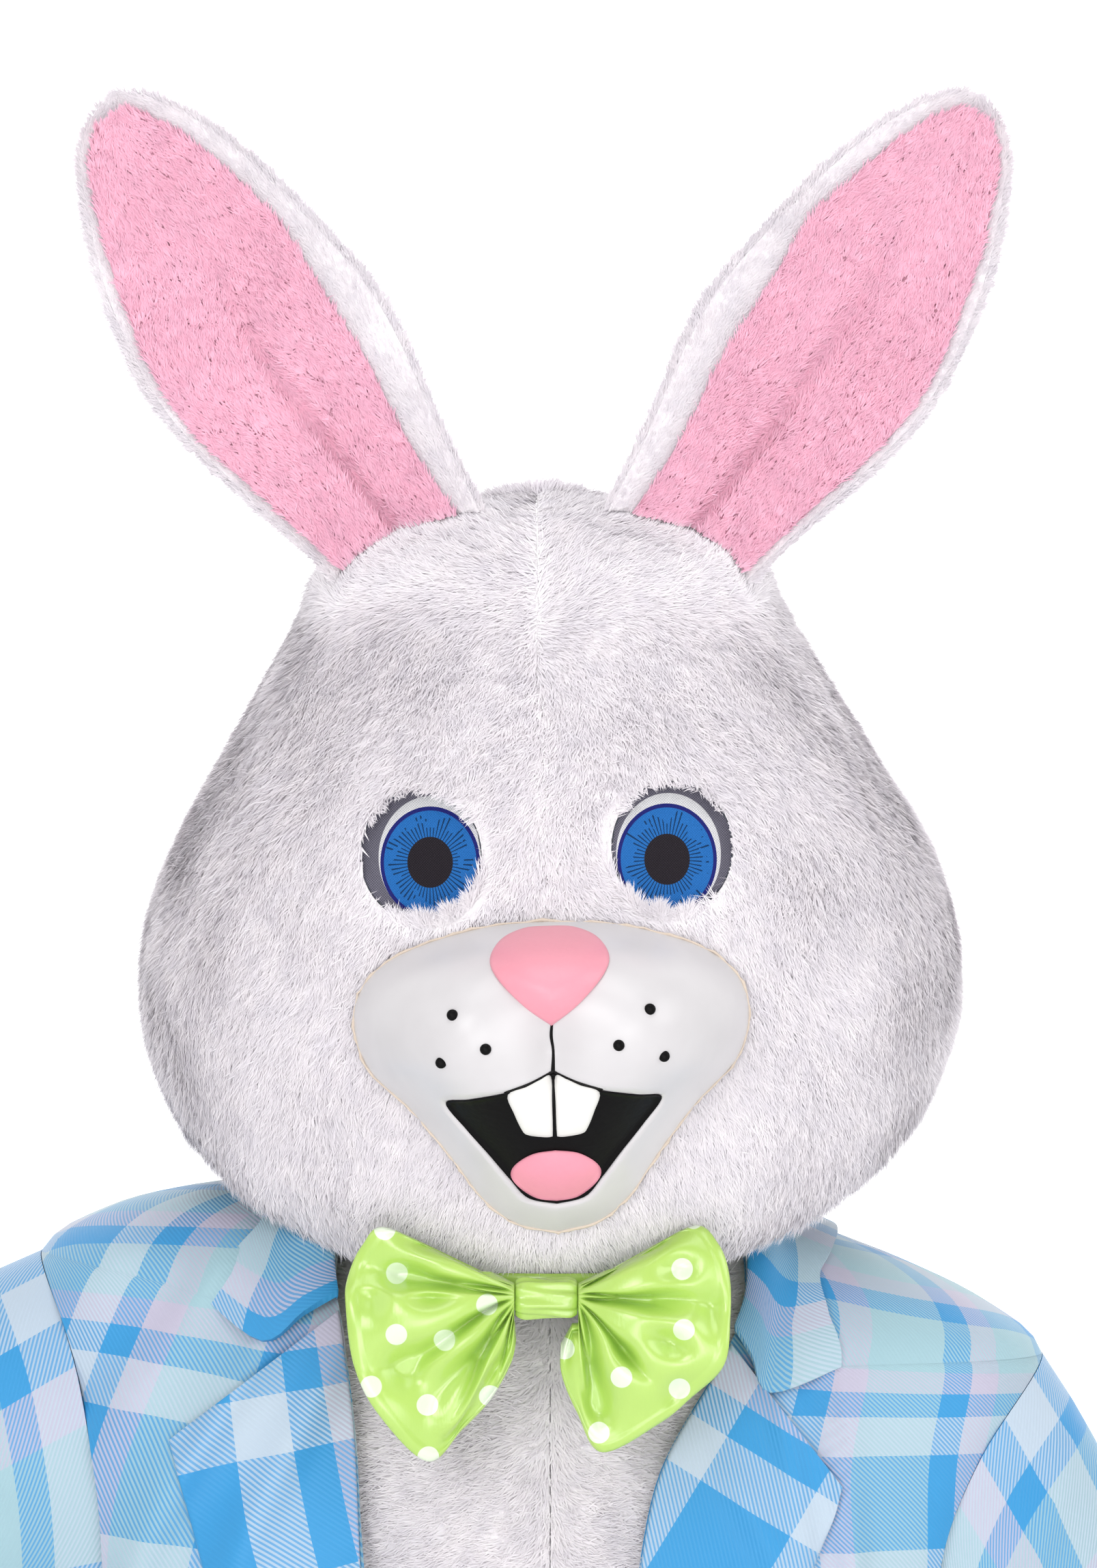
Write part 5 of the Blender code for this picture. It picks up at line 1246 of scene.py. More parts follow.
def make_ears(looks):
    rng = np.random.default_rng(SEEDS["ears"])
    last = len(EAR_ROWS) - 1
    ends = {(1, 2): last, (3, 4): last - 1.1}
    full, pink = ends
    for side, word in SIDES:
        foot, along, outward, forward = ear_axes(side)
        middle = foot + 0.5 * along

        def layer(edges, depth, side=side):
            return lambda a, b: ear_surface(side, b * ends[edges], 2 * a - 1, edges, depth)

        white_front, white_back = layer(full, lambda s, t: 0 * t), layer(full, ear_back_depth)
        pink_front, pink_rear = layer(pink, pink_depth), layer(pink, lambda s, t: REST_GAP + 0 * t)
        pink_skin = layer(pink, lambda s, t: np.maximum(pink_depth(s, t) - PINK_NAP,
                                                        REST_GAP + 0.0008))
        across = (1 + np.sin(np.linspace(-QUARTER_TURN, QUARTER_TURN, EAR_COLUMNS))) / 2
        a, b = np.meshgrid(across, np.linspace(0, 1, EAR_RINGS))
        front, rear = white_front(a, b), white_back(a, b)
        centre = (front + rear) / 2
        front, rear = (centre + EAR_THIN * (wall - centre) for wall in (front, rear))
        waist = front[:, [EAR_COLUMNS // 2]]
        front, rear = (waist + EAR_NARROW * (wall - waist) for wall in (front, rear))
        skin = shell("ear_%s_panel" % word, front, rear, "white_backing")
        cut_feet(skin)
        keep(skin, "white_fur", "ear_back_" + word)
        lining = shell("ear_%s_lining" % word, pink_skin(a, b), pink_rear(a, b), "pink_backing")
        cut_feet(lining)
        keep(lining, "pink_fur", "ear_pink_" + word)

        def clear_of_head(here, a, b):
            return ~inside_head(here)

        def on_border(here, a, b):
            row = b * last
            table = columns(EAR_ROWS, row)
            reach = (table[2] - table[1]) / 2 + (2 * a - 1) * (table[2] + table[1]) / 2
            lined = (reach > -table[3] + 0.003) & (reach < table[4] - 0.003) & (row < last - 1.3)
            return ~lined & ~inside_head(here)

        for label, surface, where, colour, seen_from, lift, length in (
                ("front", white_front, on_border, "white", -1, WHITE_NAP, 0.80),
                ("back", white_back, clear_of_head, "white", 1, WHITE_NAP, 0.80),
                ("lining", pink_front, clear_of_head, "pink", -1, PINK_NAP, 0.66)):
            a2, b2 = scatter(surface, pile_on(looks, "ear " + label), rng, where)
            here, normal, up = frame_at(surface, middle, a2, b2)
            inwards = np.sum(normal * forward, 1, keepdims=True) * seen_from > 0
            normal = np.where(inwards, -normal, normal)
            if colour == "white":
                rim = smoothstep((np.abs(2 * a2 - 1) - 0.75) / 0.25)[:, None]
                up = up + 1.3 * rim * np.sign(2 * a2 - 1)[:, None] * outward
            pile("ear_%s_%s_pile" % (word, label), looks, rng, here + normal * lift, normal, up,
                 length, colour=colour)


def inside_head(here):
    """True for places inside the head's outer form."""
    x, y, z = here[..., 0], here[..., 1], here[..., 2] - TILT_HEIGHT
    x, z = (x * math.cos(HEAD_TILT) + z * math.sin(HEAD_TILT),
            TILT_HEIGHT + z * math.cos(HEAD_TILT) - x * math.sin(HEAD_TILT))
    top = HEAD_ROWS[-1][0]
    _, half, front, back = columns(HEAD_ROWS, row_at(HEAD_ROWS, np.clip(z, 0, top)))
    depth = np.where(y < HEAD_Y, front, back)
    out = (x / np.maximum(half, 1e-4)) ** 2 + ((y - HEAD_Y) / np.maximum(depth, 1e-4)) ** 2
    return (out < 1) & (z < top)


def cut_feet(piece):
    """Trim an ear's foot to the head's backing."""
    angles = even_turns(64)
    rows = np.linspace(9, len(HEAD_ROWS) - 1.02, 30)
    angle, row = np.meshgrid(angles, rows)
    outer = tilted(head_surface(angle, row))
    middle = np.array((0, HEAD_Y, 0.25))
    tool = shell("ear_foot_cutter", outer, middle + 0.02 * (outer - middle),
                 "white_backing", wrap=True)
    cut_away(piece, [tool])
    discard([tool])


# ---------------------------------------------------------------- blazer
def lifted(points):
    """The lifted arm on the -X side takes the shoulder up and draws the armhole out."""
    points = np.array(points, float)
    x, z = points[..., 0].copy(), points[..., 2].copy()
    share = smoothstep(-x / RAISE_SPAN)
    points[..., 2] = z + SHOULDER_RAISE * share * smoothstep((z + 0.26) / 0.20)
    points[..., 0] = x - SHOULDER_PULL * share * np.exp(-((z - PULL_Z) / PULL_SPAN) ** 2)
    return points


def jacket_surface(angle, row):
    return section(columns(JACKET_ROWS, row), angle)


def fold_height(x, z, folds=FRONT_FOLDS):
    """Height of the cloth's folds at x, z."""
    total = np.zeros_like(x)
    for x1, z1, x2, z2, width, height in folds:
        run = np.array((x2 - x1, z2 - z1))
        length = np.hypot(*run)
        share = ((x - x1) * run[0] + (z - z1) * run[1]) / length ** 2
        off = ((x - x1) * run[1] - (z - z1) * run[0]) / length
        ends = smoothstep(share / 0.3 + 0.3) * smoothstep((1 - share) / 0.3 + 0.3)
        total += height * ends * np.exp(-(off / width) ** 2)
    return total


def front_y(x, z):
    """The blazer's front at x, z, before the shoulder is lifted."""
    _, half, front = columns(JACKET_ROWS, row_at(JACKET_ROWS, z))[:3]
    share = np.clip(np.abs(x) / half, 0, 0.999)
    return -front * (1 - share ** SECTION_POWER) ** (1 / SECTION_POWER) - fold_height(x, z)


def edge_angle(row, side):
    """Where a front ends, at its free edge."""
    table = columns(JACKET_ROWS, row)
    share = np.clip(table[FRONT_EDGE[side]] / table[1], 0, 0.999)
    return np.arcsin(share ** (SECTION_POWER / 2))


def hole_angle(z, middle=ARMHOLE_Z, tall=ARMHOLE_TALL, wide=ARMHOLE_WIDE):
    """Half the angle that an armhole takes out of the section at z."""
    return wide * np.sqrt(np.clip(1 - ((z - middle) / tall) ** 2, 0, 1))


def jacket_rows():
    """Close together round the armhole, even elsewhere."""
    armhole = row_at(JACKET_ROWS, ARMHOLE_Z + ARMHOLE_TALL * np.cos(np.linspace(0, math.pi, 31)))
    return np.concatenate((np.linspace(0, 3, 16)[:-1], np.linspace(3, armhole[0], 5)[:-1], armhole,
                           np.linspace(armhole[-1], len(JACKET_ROWS) - 1, 50)[1:]))


def walled_cloth(name, outer, middle, thickness, finish, wrap=False, uv=None, shift=None):
    inner = outer - thickness * grid_normals(outer, wrap, middle)
    if shift is not None:
        outer, inner = shift(outer), shift(inner)
    return crisp(shell(name, outer, inner, finish, wrap, uv))


def core_of(points, highest=-0.10):
    z = np.minimum(points[:, :1, 2], highest)
    return spots(0, 0, z)


def make_jacket(_):
    """Two fronts and a back, open down the front and at both armholes."""
    rows = jacket_rows()
    hole = hole_angle(smooth(JACKET_ROWS, rows)[:, 0])
    chest = int(np.argmin(np.abs(rows - CHEST_ROW)))
    for name, side, behind, count, folds in (
            ("front_left", -1, -1, 56, (FRONT_FOLDS, CREASES)),
            ("front_right", 1, -1, 56, (FRONT_FOLDS, CREASES)),
            ("back", 1, 1, 90, (BACK_CREASES,))):
        if behind > 0:
            first, last, anchor = QUARTER_TURN + hole, WHOLE_TURN - QUARTER_TURN - hole, count // 2
        else:
            first, last, anchor = edge_angle(rows, side), QUARTER_TURN - hole, 0
        angle = side * (first[:, None] + np.linspace(0, 1, count) * (last - first)[:, None])
        outer = jacket_surface(angle, rows[:, None])
        uv = cloth_map(outer, False, chest, anchor)
        if behind < 0:
            uv[..., 0] = side * (uv[..., 0] + np.abs(outer[chest, 0, 0]))
        for table in folds:
            outer[..., 1] += behind * fold_height(outer[..., 0], outer[..., 2], table)

        def shut(points, behind=behind):
            hold_off(points, 1, behind)
            return lifted(points)

        cloth = "plaid_" + name.removeprefix("front_")
        keep(walled_cloth(name, outer, core_of(outer), JACKET_WALL, cloth, uv=cut_from(cloth, uv),
                          shift=shut), "blue_plaid", "jacket_" + name)


def armhole_ring(side, count):
    turn = even_turns(count)
    z = ARMHOLE_Z + (ARMHOLE_TALL - GAP) * np.cos(turn)
    angle = QUARTER_TURN - (ARMHOLE_WIDE - 3 * GAP) * np.sin(turn)
    return jacket_surface(side * angle, row_at(JACKET_ROWS, z)), turn


SLEEVE_COLUMNS, CAP_RINGS, SLEEVE_RINGS = 72, 19, 64
GIRTH_RING = 40          # the ring whose girth the cloth is cut to


def make_sleeves(_):
    """A set-in sleeve on each side, from the armhole to the open cuff."""
    for side, word, rows, rise in ((-1, "left", RAISED_SLEEVE, RAISED_CAP),
                                   (1, "right", HANGING_SLEEVE, HANGING_CAP)):
        start, turn = armhole_ring(side, SLEEVE_COLUMNS)
        start = lifted(start) + (side * 0.0002, 0, 0)
        sections, middles = [], []
        at = np.linspace(0, len(rows) - 1, SLEEVE_RINGS)
        for x, y, z, lean, half_out, half_deep in smooth(rows, at):
            lean = math.radians(lean)
            outward = np.array((side * math.cos(lean), 0, math.sin(lean)))
            middles.append(np.array((side * x, y, z)))
            sections.append(middles[-1] + half_out * np.cos(turn)[:, None] * outward
                            + half_deep * np.sin(turn)[:, None] * np.array((0, -1, 0)))
        grid, cores = [], []
        for share in np.linspace(0, 1, CAP_RINGS + 1)[:-1]:
            puff = rise * math.sin(math.pi * share) * np.maximum(np.cos(turn), 0)[:, None]
            puff = puff * unit(sections[0] - middles[0])
            grid.append(start + share * (sections[0] - start) + puff)
            cores.append(start.mean(0) + share * (middles[0] - start.mean(0)))
        outer, cores = np.array(grid + sections), np.array(cores + middles)[:, None]
        uv = cloth_map(outer, True, 0, 0)
        girth = uv[GIRTH_RING, -1, 0]
        uv[..., 0] = np.linspace(0, 1, SLEEVE_COLUMNS + 1) * girth
        along = uv[..., 1] / uv[-1:, :, 1]
        ridge = sleeve_creases(along[:, :-1], turn)
        outer = outer + ridge[..., None] * unit(outer - cores)
        cloth = "plaid_sleeve_" + word
        keep(walled_cloth("arm_" + word, outer, cores, JACKET_WALL, cloth, wrap=True,
                          uv=cut_from(cloth, uv)), "blue_plaid", "sleeve_" + word)


def sleeve_creases(along, turn):
    """Soft drag lines that wind round the sleeve, strongest at the elbow and under the arm."""
    total = np.zeros_like(along)
    for at, around, slant, width, height in SLEEVE_CREASES:
        place = turn[None, :] - math.radians(around)
        place = (place + math.pi) % WHOLE_TURN - math.pi
        line = along - at - slant * place
        total += height * np.exp(-(line / width) ** 2) * np.exp(-(place / 1.1) ** 2)
    return total * smoothstep(along / 0.08)


LAPEL_LIFT, LAPEL_BELLY, LAPEL_SPRING = 0.0011, 0.0026, 0.0008   # off the front, and how it curls
EDGE_ROUNDING = 80       # a high power: the lapel is thinner only along its very edges


def make_lapels(_):
    """A wide notch lapel on each front, lying on it."""
    table = smooth(LAPEL_ROWS, np.linspace(0, len(LAPEL_ROWS) - 1, 60))
    across = (1 - np.cos(np.linspace(0, math.pi, 34))) / 2
    for side, word, edge_column, width_column in ((-1, "left", 1, 3), (1, "right", 2, 4)):
        z = table[:, :1] + across * (table[:, edge_column:edge_column + 1] - table[:, :1])
        roll = columns(JACKET_ROWS, row_at(JACKET_ROWS, table[:, 0]))[FRONT_EDGE[side]][:, None]
        x = side * (roll + 0.0005 + across * table[:, width_column:width_column + 1])
        surface = front_y(x, z) - fold_height(x, z, CREASES)
        belly = LAPEL_BELLY * np.sin(math.pi * across) + LAPEL_SPRING * across
        low = spots(x, surface - LAPEL_LIFT - belly, z)
        roundness = np.sqrt(np.clip(1 - (2 * across - 1) ** EDGE_ROUNDING, 0, 1)) * 0.6 + 0.4
        high = spots(x, surface - LAPEL_LIFT - LAPEL_WALL * roundness - belly, z)
        cloth = "plaid_lapel_" + word
        keep(crisp(shell("lapel_form_" + word, lifted(high), lifted(low), cloth,
                         uv=cut_from(cloth, spots(x, z)))), "blue_plaid", "lapel_" + word)


def jacket_normal(angle, row):
    turn, drop = 0.02, 0.05
    around = jacket_surface(angle + turn, row) - jacket_surface(angle - turn, row)
    low = np.minimum(row, len(JACKET_ROWS) - 1 - drop)
    down = jacket_surface(angle, low + drop) - jacket_surface(angle, np.maximum(low - drop, 0))
    normal = unit(np.cross(down, around))
    return normal if np.dot(normal, jacket_surface(angle, row) - (0, 0, -0.12)) > 0 else -normal


STAND_WALL, FOLD_OUT = 0.0014, 0.0045
MID_LIFT, EDGE_LIFT = 0.0042, 0.0020   # the leaf off the blazer, at its middle and its edge


def collar_section(side, station, lean):
    """The collar's cut through one station: up the stand, over the fold, down the leaf."""
    foot_row, foot_turn, fold, mid_turn, mid_row, edge_turn, edge_row = station
    mid_turn, edge_turn = mid_turn + lean, edge_turn + lean
    row = np.array(max(foot_row, 0.0))
    free = float(edge_angle(row, side))
    angle = np.array(side * max(free, math.radians(foot_turn)))
    foot, out = jacket_surface(angle, row), jacket_normal(angle, row)
    flat_out = unit(out * (1, 1, 0.3))
    up = np.array((0, 0, 1.0))
    foot = foot + 0.0016 * out + 0.0012 * up * (foot_row < 0.5)
    ridge = foot + fold * up + FOLD_OUT * flat_out
    leaf = []
    for turn, leaf_row, lift in ((mid_turn, mid_row, MID_LIFT), (edge_turn, edge_row, EDGE_LIFT)):
        place = (np.array(side * math.radians(turn)), np.array(leaf_row))
        normal = jacket_normal(*place)
        under = jacket_surface(*place)
        if abs(turn) < 80:
            under = under - (0, float(fold_height(under[0], under[2])), 0)
        leaf.append((under + lift * normal, under + (lift + LAPEL_WALL) * normal))
    (mid_in, mid_out), (edge_in, edge_out) = leaf
    near_out = 0.55 * ridge + 0.45 * mid_out + 0.0022 * out
    near_in = 0.55 * ridge + 0.45 * mid_in + 0.0004 * out - 0.0008 * up
    over = np.array((foot, ridge - 0.0016 * up - 0.0012 * flat_out, ridge + 0.0012 * out,
                     near_out, mid_out, edge_out))
    under = np.array((foot + STAND_WALL * flat_out, ridge - 0.0034 * up + 0.0004 * flat_out,
                      ridge - 0.0026 * up + 0.0012 * flat_out, near_in, mid_in, edge_in))
    at = np.linspace(0, 5, 26)
    return smooth(over, at), smooth(under, at)


def make_collar(_):
    """The collar: a stand inside the fold, and a leaf that lies on the shoulders."""
    at = np.linspace(0, len(COLLAR_ROWS) - 1, 60)
    stations, fade = smooth(COLLAR_ROWS, at), np.clip(1 - at / 4, 0, 1)
    halves = [[collar_section(side, *pair) for pair in zip(stations, turn * fade)]
              for side, turn in zip((-1, 1), COLLAR_TURNS)]
    rings = np.array(halves[0] + halves[1][::-1][1:])
    over, under = lifted(rings[:, 0]), lifted(rings[:, 1])
    lengths = cloth_map(over, False, len(stations) - 1, 2)
    uv = spots(lengths[..., 0].mean(0), lengths[:, 18:19, 1])
    keep(crisp(shell("collar_form", over, under, "plaid_collar", uv=cut_from("plaid_collar", uv))),
         "blue_plaid", "collar")


BUTTON_RIM, BUTTON_ROLL, BUTTON_DISH, BUTTON_BEVEL = 0.0018, 0.0008, 0.0010, 0.0005


def make_buttons(_):
    """Plain four-hole buttons with a rolled rim, by the edge of the left front."""
    for index, z in enumerate(BUTTON_HEIGHTS):
        y = np.min(front_y(BUTTON_X + BUTTON_RADIUS * np.array((-1, 0, 1)), np.full(3, z)))
        bpy.ops.mesh.primitive_cylinder_add(vertices=48, radius=BUTTON_RADIUS, depth=BUTTON_THICK,
                                            location=(0, 0, 0))
        button = bpy.context.object
        bpy.ops.object.mode_set(mode="EDIT")
        bpy.ops.mesh.select_mode(type="FACE")
        bpy.ops.mesh.select_all(action="DESELECT")
        bpy.ops.object.mode_set(mode="OBJECT")
        for face in button.data.polygons:
            face.select = face.normal.z > 0.9
        bpy.ops.object.mode_set(mode="EDIT")
        bpy.ops.mesh.inset(thickness=BUTTON_RIM)
        bpy.ops.mesh.inset(thickness=BUTTON_ROLL)
        bpy.ops.transform.translate(value=(0, 0, -BUTTON_DISH))
        bpy.ops.object.mode_set(mode="OBJECT")
        bpy.ops.object.modifier_add(type="BEVEL")
        button.modifiers[-1].width, button.modifiers[-1].segments = BUTTON_BEVEL, 3
        holes = []
        for k in range(4):
            turn = math.pi / 4 + k * QUARTER_TURN
            place = (HOLE_OUT * math.cos(turn), HOLE_OUT * math.sin(turn), 0)
            bpy.ops.mesh.primitive_cylinder_add(vertices=16, radius=HOLE_RADIUS, depth=0.02,
                                                location=place)
            holes.append(bpy.context.object)
        cut_away(button, holes)
        discard(holes)
        button.rotation_euler = (QUARTER_TURN, 0, 0)
        button.location = (BUTTON_X, float(y) - GAP - BUTTON_THICK / 2, z)
        select_only(button)
        bpy.ops.object.transform_apply(location=True, rotation=True, scale=True)
        bpy.ops.object.shade_smooth_by_angle(angle=math.radians(35))
        button.name = "button_form_%d" % (index + 1)
        dress(button, "button")
        keep(button, "button_blue", "button_%d" % (index + 1))


# ---------------------------------------------------------------- bodysuit
BODY_MIDDLE, LEG_MIDDLE = (0, 0, -0.35), (0.104, 0, -1.05)
BIB_HALF, BIB_FOOT = 0.105, -0.36      # where the fur shows between the fronts


def make_bodysuit(looks):
    """Plush body and legs, open at the neck, the arms and the ankles."""
    rng = np.random.default_rng(SEEDS["body"])
    coarse = (*COARSE_PILE, looks.pile_lean + COARSE_LEAN)
    last = len(BODY_ROWS) - 1
    spans = (("body_front_left", -1, -1), ("body_front_right", 1, -1), ("body_back", 0, 1))
    for name, x_side, y_side in spans:
        def surface(a, b, x_side=x_side):
            row = (1 - b) * last
            table = columns(BODY_ROWS, row)
            hole = hole_angle(table[0], BODY_ARM_Z, BODY_ARM_TALL, BODY_ARM_WIDE)
            if x_side:
                return section(table, x_side * a * (QUARTER_TURN - hole))
            return section(table, QUARTER_TURN + hole + a * (math.pi - 2 * hole))

        outer, inner = skin_grid(surface, BODY_MIDDLE, 90, 30, SKIN_DROP, BODY_WALL)
        for wall in (outer, inner):
            hold_off(wall, 1, y_side)
            hold_off(wall, 0, x_side)
        keep(shell(name + "_panel", outer, inner, "white_backing"), "white_fur", name)
        if x_side:
            def bib(here, a, b):
                return (np.abs(here[..., 0]) < BIB_HALF) & (here[..., 2] > BIB_FOOT)

            a, b = scatter(surface, pile_on(looks, "bib"), rng, bib)
            here, normal, up = frame_at(surface, BODY_MIDDLE, a, b)
            flow = np.clip(here[:, :1] / 0.03, -1, 1) * (1, 0, 0) - 0.3 * up
            pile(name + "_bib_pile", looks, rng, here, normal, flow)

            def rest(here, a, b):
                return ~bib(here, a, b)
        else:
            rest = None
        count = pile_on(looks, "body front" if x_side else "body back")
        a, b = scatter(surface, count, rng, rest)
        here, normal, up = frame_at(surface, BODY_MIDDLE, a, b)
        pile(name + "_pile", looks, rng, here, normal, -up, *coarse)
    for side, word in SIDES:
        def leg(a, b, side=side):
            z, x, *sizes = columns(LEG_ROWS, (1 - b) * (len(LEG_ROWS) - 1))
            around = section((z, *sizes), WHOLE_TURN * a)
            around[..., 0] = side * (x + around[..., 0])
            return around

        middle = LEG_MIDDLE * np.array((side, 1, 1))
        a, b = np.meshgrid(np.linspace(0, 1, 49)[:-1], np.linspace(0, 1, 60))
        here = leg(a, b)
        core = here.mean(axis=1, keepdims=True)
        normal = grid_normals(here, True, core)
        keep(shell("leg_%s_panel" % word, here - SKIN_DROP * normal, here - BODY_WALL * normal,
                   "white_backing", wrap=True), "white_fur", "leg_" + word)
        a, b = scatter(leg, pile_on(looks, "leg"), rng)
        here, normal, up = frame_at(leg, middle, a, b)
        pile("leg_%s_pile" % word, looks, rng, here, normal, -up, *coarse)


# ---------------------------------------------------------------- bow tie
LOBE_COLUMNS, LOBE_RINGS = 156, 68
KNOT_COLUMNS, KNOT_RINGS = 96, 40
BAND_COLUMNS, BAND_RINGS = 120, 9
PINCH_HALF = 0.0068      # half the height of the gathers where a lobe enters the knot
PINCH_REACH = 0.34       # share of the lobe that the knot holds off the other side


def make_bow(_):
    """Two gathered satin lobes with a rolled hem, the knot, and the band round the neck."""
    for side, word, edge in ((-1, "left", LEFT_LOBE), (1, "right", RIGHT_LOBE)):
        pinch_x = KNOT_X + side * (KNOT_WIDE / 2 + GAP)
        across = np.linspace(0, 1, LOBE_COLUMNS)
        far = np.linspace(0, 1, LOBE_RINGS)[:, None]
        rim = smooth(edge, across * (len(edge) - 1))
        pinch = spots(pinch_x, KNOT_Z + PINCH_HALF - 2 * PINCH_HALF * across)
        flat = pinch + far[..., None] * (rim - pinch)
        x = side * np.maximum(side * flat[..., 0], side * pinch_x)
        flat[..., 0] = np.where(far < PINCH_REACH, x, flat[..., 0])
        wave = sum(depth * np.sin(WHOLE_TURN * (turns * across) + start)
                   for depth, turns, start in RIM_WAVES[side])
        y = BOW_Y - BOW_SWEEP * np.abs(flat[..., 0] - KNOT_X) - wave * far ** 2.2
        front, back = upright(flat, y - BOW_HEM - lobe_puff(far, across, side)), upright(flat, y)
        keep(shell("lobe_" + word, front, back, "satin_" + word, uv=flat), "green_satin",
             "bow_lobe_" + word)
    turn = even_turns(KNOT_COLUMNS)
    share = np.linspace(-1, 1, KNOT_RINGS)[:, None]
    size = 1 - 0.16 * (1 - share ** 2) - 0.30 * np.abs(share) ** 6
    ridge = (1 + 0.07 * np.sin(6 * turn + 1.2 * share)
             + 0.045 * np.sin(11 * turn - 1.6 * share + 1.0))
    ring = spots(KNOT_X + share * KNOT_WIDE / 2,
                 KNOT_Y + size * ridge * KNOT_THICK / 2 * power(np.cos(turn), 0.85),
                 KNOT_Z + size * ridge * KNOT_TALL / 2 * power(np.sin(turn), 0.85))
    inner = ring * (1, 0.8, 0.8) + (0, 0.2 * KNOT_Y, 0.2 * KNOT_Z)
    keep(shell("knot_form", ring, inner, "satin_plain", wrap=True), "green_satin", "bow_knot")
    t = even_turns(BAND_COLUMNS)[:, None]
    depth = np.where(np.cos(t) > 0, BAND_FRONT, BAND_BACK)
    round_turn = np.degrees(np.minimum(t, WHOLE_TURN - t))
    middle = BAND_LOW + (BAND_HIGH - BAND_LOW) * smoothstep((round_turn - BAND_RISE) / BAND_SPREAD)
    level = middle + np.linspace(-1, 1, BAND_RINGS) * BAND_TALL / 2
    walls = [spots((BAND_HALF + out) * np.sin(t), BAND_Y - (depth + out) * np.cos(t), level)
             for out in (0, -BAND_WALL)]
    keep(shell("band_form", *(wall.transpose(1, 0, 2) for wall in walls), "satin_plain", wrap=True),
         "green_satin", "bow_band")


def lobe_puff(far, across, side):
    """How far the satin stands out: far 0 at the knot, across 0 to 1 from top to bottom."""
    swell = np.sin(math.pi * np.minimum(1, 0.18 + 0.72 * far))
    edge = np.sin(math.pi * np.clip(across, 0, 1)) ** 0.45
    fold = np.zeros_like(far + across)
    for at, width, depth, reach, bend in LOBE_FOLDS[side]:
        middle = at + bend * np.sin(2.6 * far)
        line = np.exp(-(np.abs(across - middle) / (width * (0.55 + 0.75 * far))) ** 1.5)
        fold += depth * line * smoothstep(far / 0.10) * smoothstep((reach - far) / (0.55 * reach))
    for at, out, wide, long, depth in LOBE_DENTS[side]:
        fold += depth * np.exp(-((across - at) / wide) ** 2 - ((far - out) / long) ** 2)
    hem = 0.0007 * smoothstep((far - 0.930) / 0.012) * smoothstep((0.992 - far) / 0.012)
    return BOW_PUFF * swell * edge * np.maximum(1 - fold, 0.12) + hem


# ---------------------------------------------------------------- painted lines
LINE_SINK = 0.0003


def make_philtrum(_):
    """The painted line from the nose to the lips, and the lips' two arms."""
    for label, route in (("philtrum", PHILTRUM), ("lip_left", LIP), ("lip_right", LIP)):
        side = -1 if label == "lip_left" else 1
        at = np.linspace(0, len(route) - 1, 40)
        table = smooth(route, at) * (side, 1, 1)
        run = unit(np.gradient(table[:, :2], axis=0))
        across = spots(run[:, 1], -run[:, 0])
        share = np.linspace(-1, 1, 7)
        width = table[:, 2:, None] * across[:, None] * side
        flat = table[:, None, :2] + share[None, :, None] * width
        y = muzzle_front(flat[..., 0], flat[..., 1])
        high = upright(flat, y - LINE_SINK - 0.0004 * (1 - share ** 2))
        low = upright(flat, y + LINE_SINK)
        keep(shell(label + "_line", tilted(high), tilted(low), "ink"), "black")


# ---------------------------------------------------------------- cloth
# Cloth pieces: flat size, how it is held, what it lies on, flat area, and the pile on it.
# An @ is left, then right.
PAIRED_CUTS = (
    ("head_crown_@_panel", (0.20, 0.30), "stretched", "head_cheek_@", 0.046,
     ("head_crown_@_pile", "eye_fringe_@")),
    ("head_cheek_@_panel", (0.22, 0.21), "stretched", "head_crown_@", 0.038,
     ("head_cheek_@_pile",)),
    ("head_back_@_panel", (0.29, 0.36), "stretched", "head_crown_@", 0.088, ("head_back_@_pile",)),
    ("ear_@_lining", (0.10, 0.27), "stretched", "ear_@_panel", 0.019, ("ear_@_lining_pile",)),
    ("body_front_@_panel", (0.29, 0.77), "hung", "body_back_panel", 0.183,
     ("body_front_@_pile", "body_front_@_bib_pile")),
    ("leg_@_panel", (0.62, 0.65), "hung", "body_front_@_panel", 0.364, ("leg_@_pile",)),
    ("lobe_@", (0.105, 0.105), "gathered", "knot_form", None, ()),
)
OTHER_CUTS = (
    ("body_back_panel", (0.56, 0.77), "hung", "body_front_left_panel", 0.347, ("body_back_pile",)),
    ("front_left", (0.25, 0.79), "hung", "back", 0.153, ()),
    ("front_right", (0.29, 0.79), "hung", "back", 0.181, ()),
    ("back", (0.66, 0.79), "hung", "collar_form", 0.405, ()),
    ("arm_left", (0.47, 0.62), "hung", "front_left", 0.205, ()),
    ("arm_right", (0.44, 0.60), "hung", "front_right", 0.184, ()),
    ("lapel_form_left", (0.11, 0.38), "folded", "front_left", 0.020, ()),
    ("lapel_form_right", (0.12, 0.37), "folded", "front_right", 0.021, ()),
    ("collar_form", (0.11, 0.56), "folded", "back", 0.051, ()),
    ("knot_form", (0.028, 0.060), "folded", "band_form", None, ()),
    ("band_form", (0.017, 0.66), "stretched", "knot_form", None, ()),
)
MORE_PILE = {"head_crown_left_panel": ("head_tuft",)}


def declare_cloth(_):
    """Look up each cloth piece by name, with the pile that goes with it."""
    objects = bpy.data.objects
    for cuts, word in ((PAIRED_CUTS, "left"), (PAIRED_CUTS, "right"), (OTHER_CUTS, "")):
        for name, flat, held, rests_on, area, goes_with in cuts:
            name = name.replace("@", word)
            pieces = [objects[other.replace("@", word)] for other in goes_with]
            pieces += [objects[other] for other in MORE_PILE.get(name, ())]


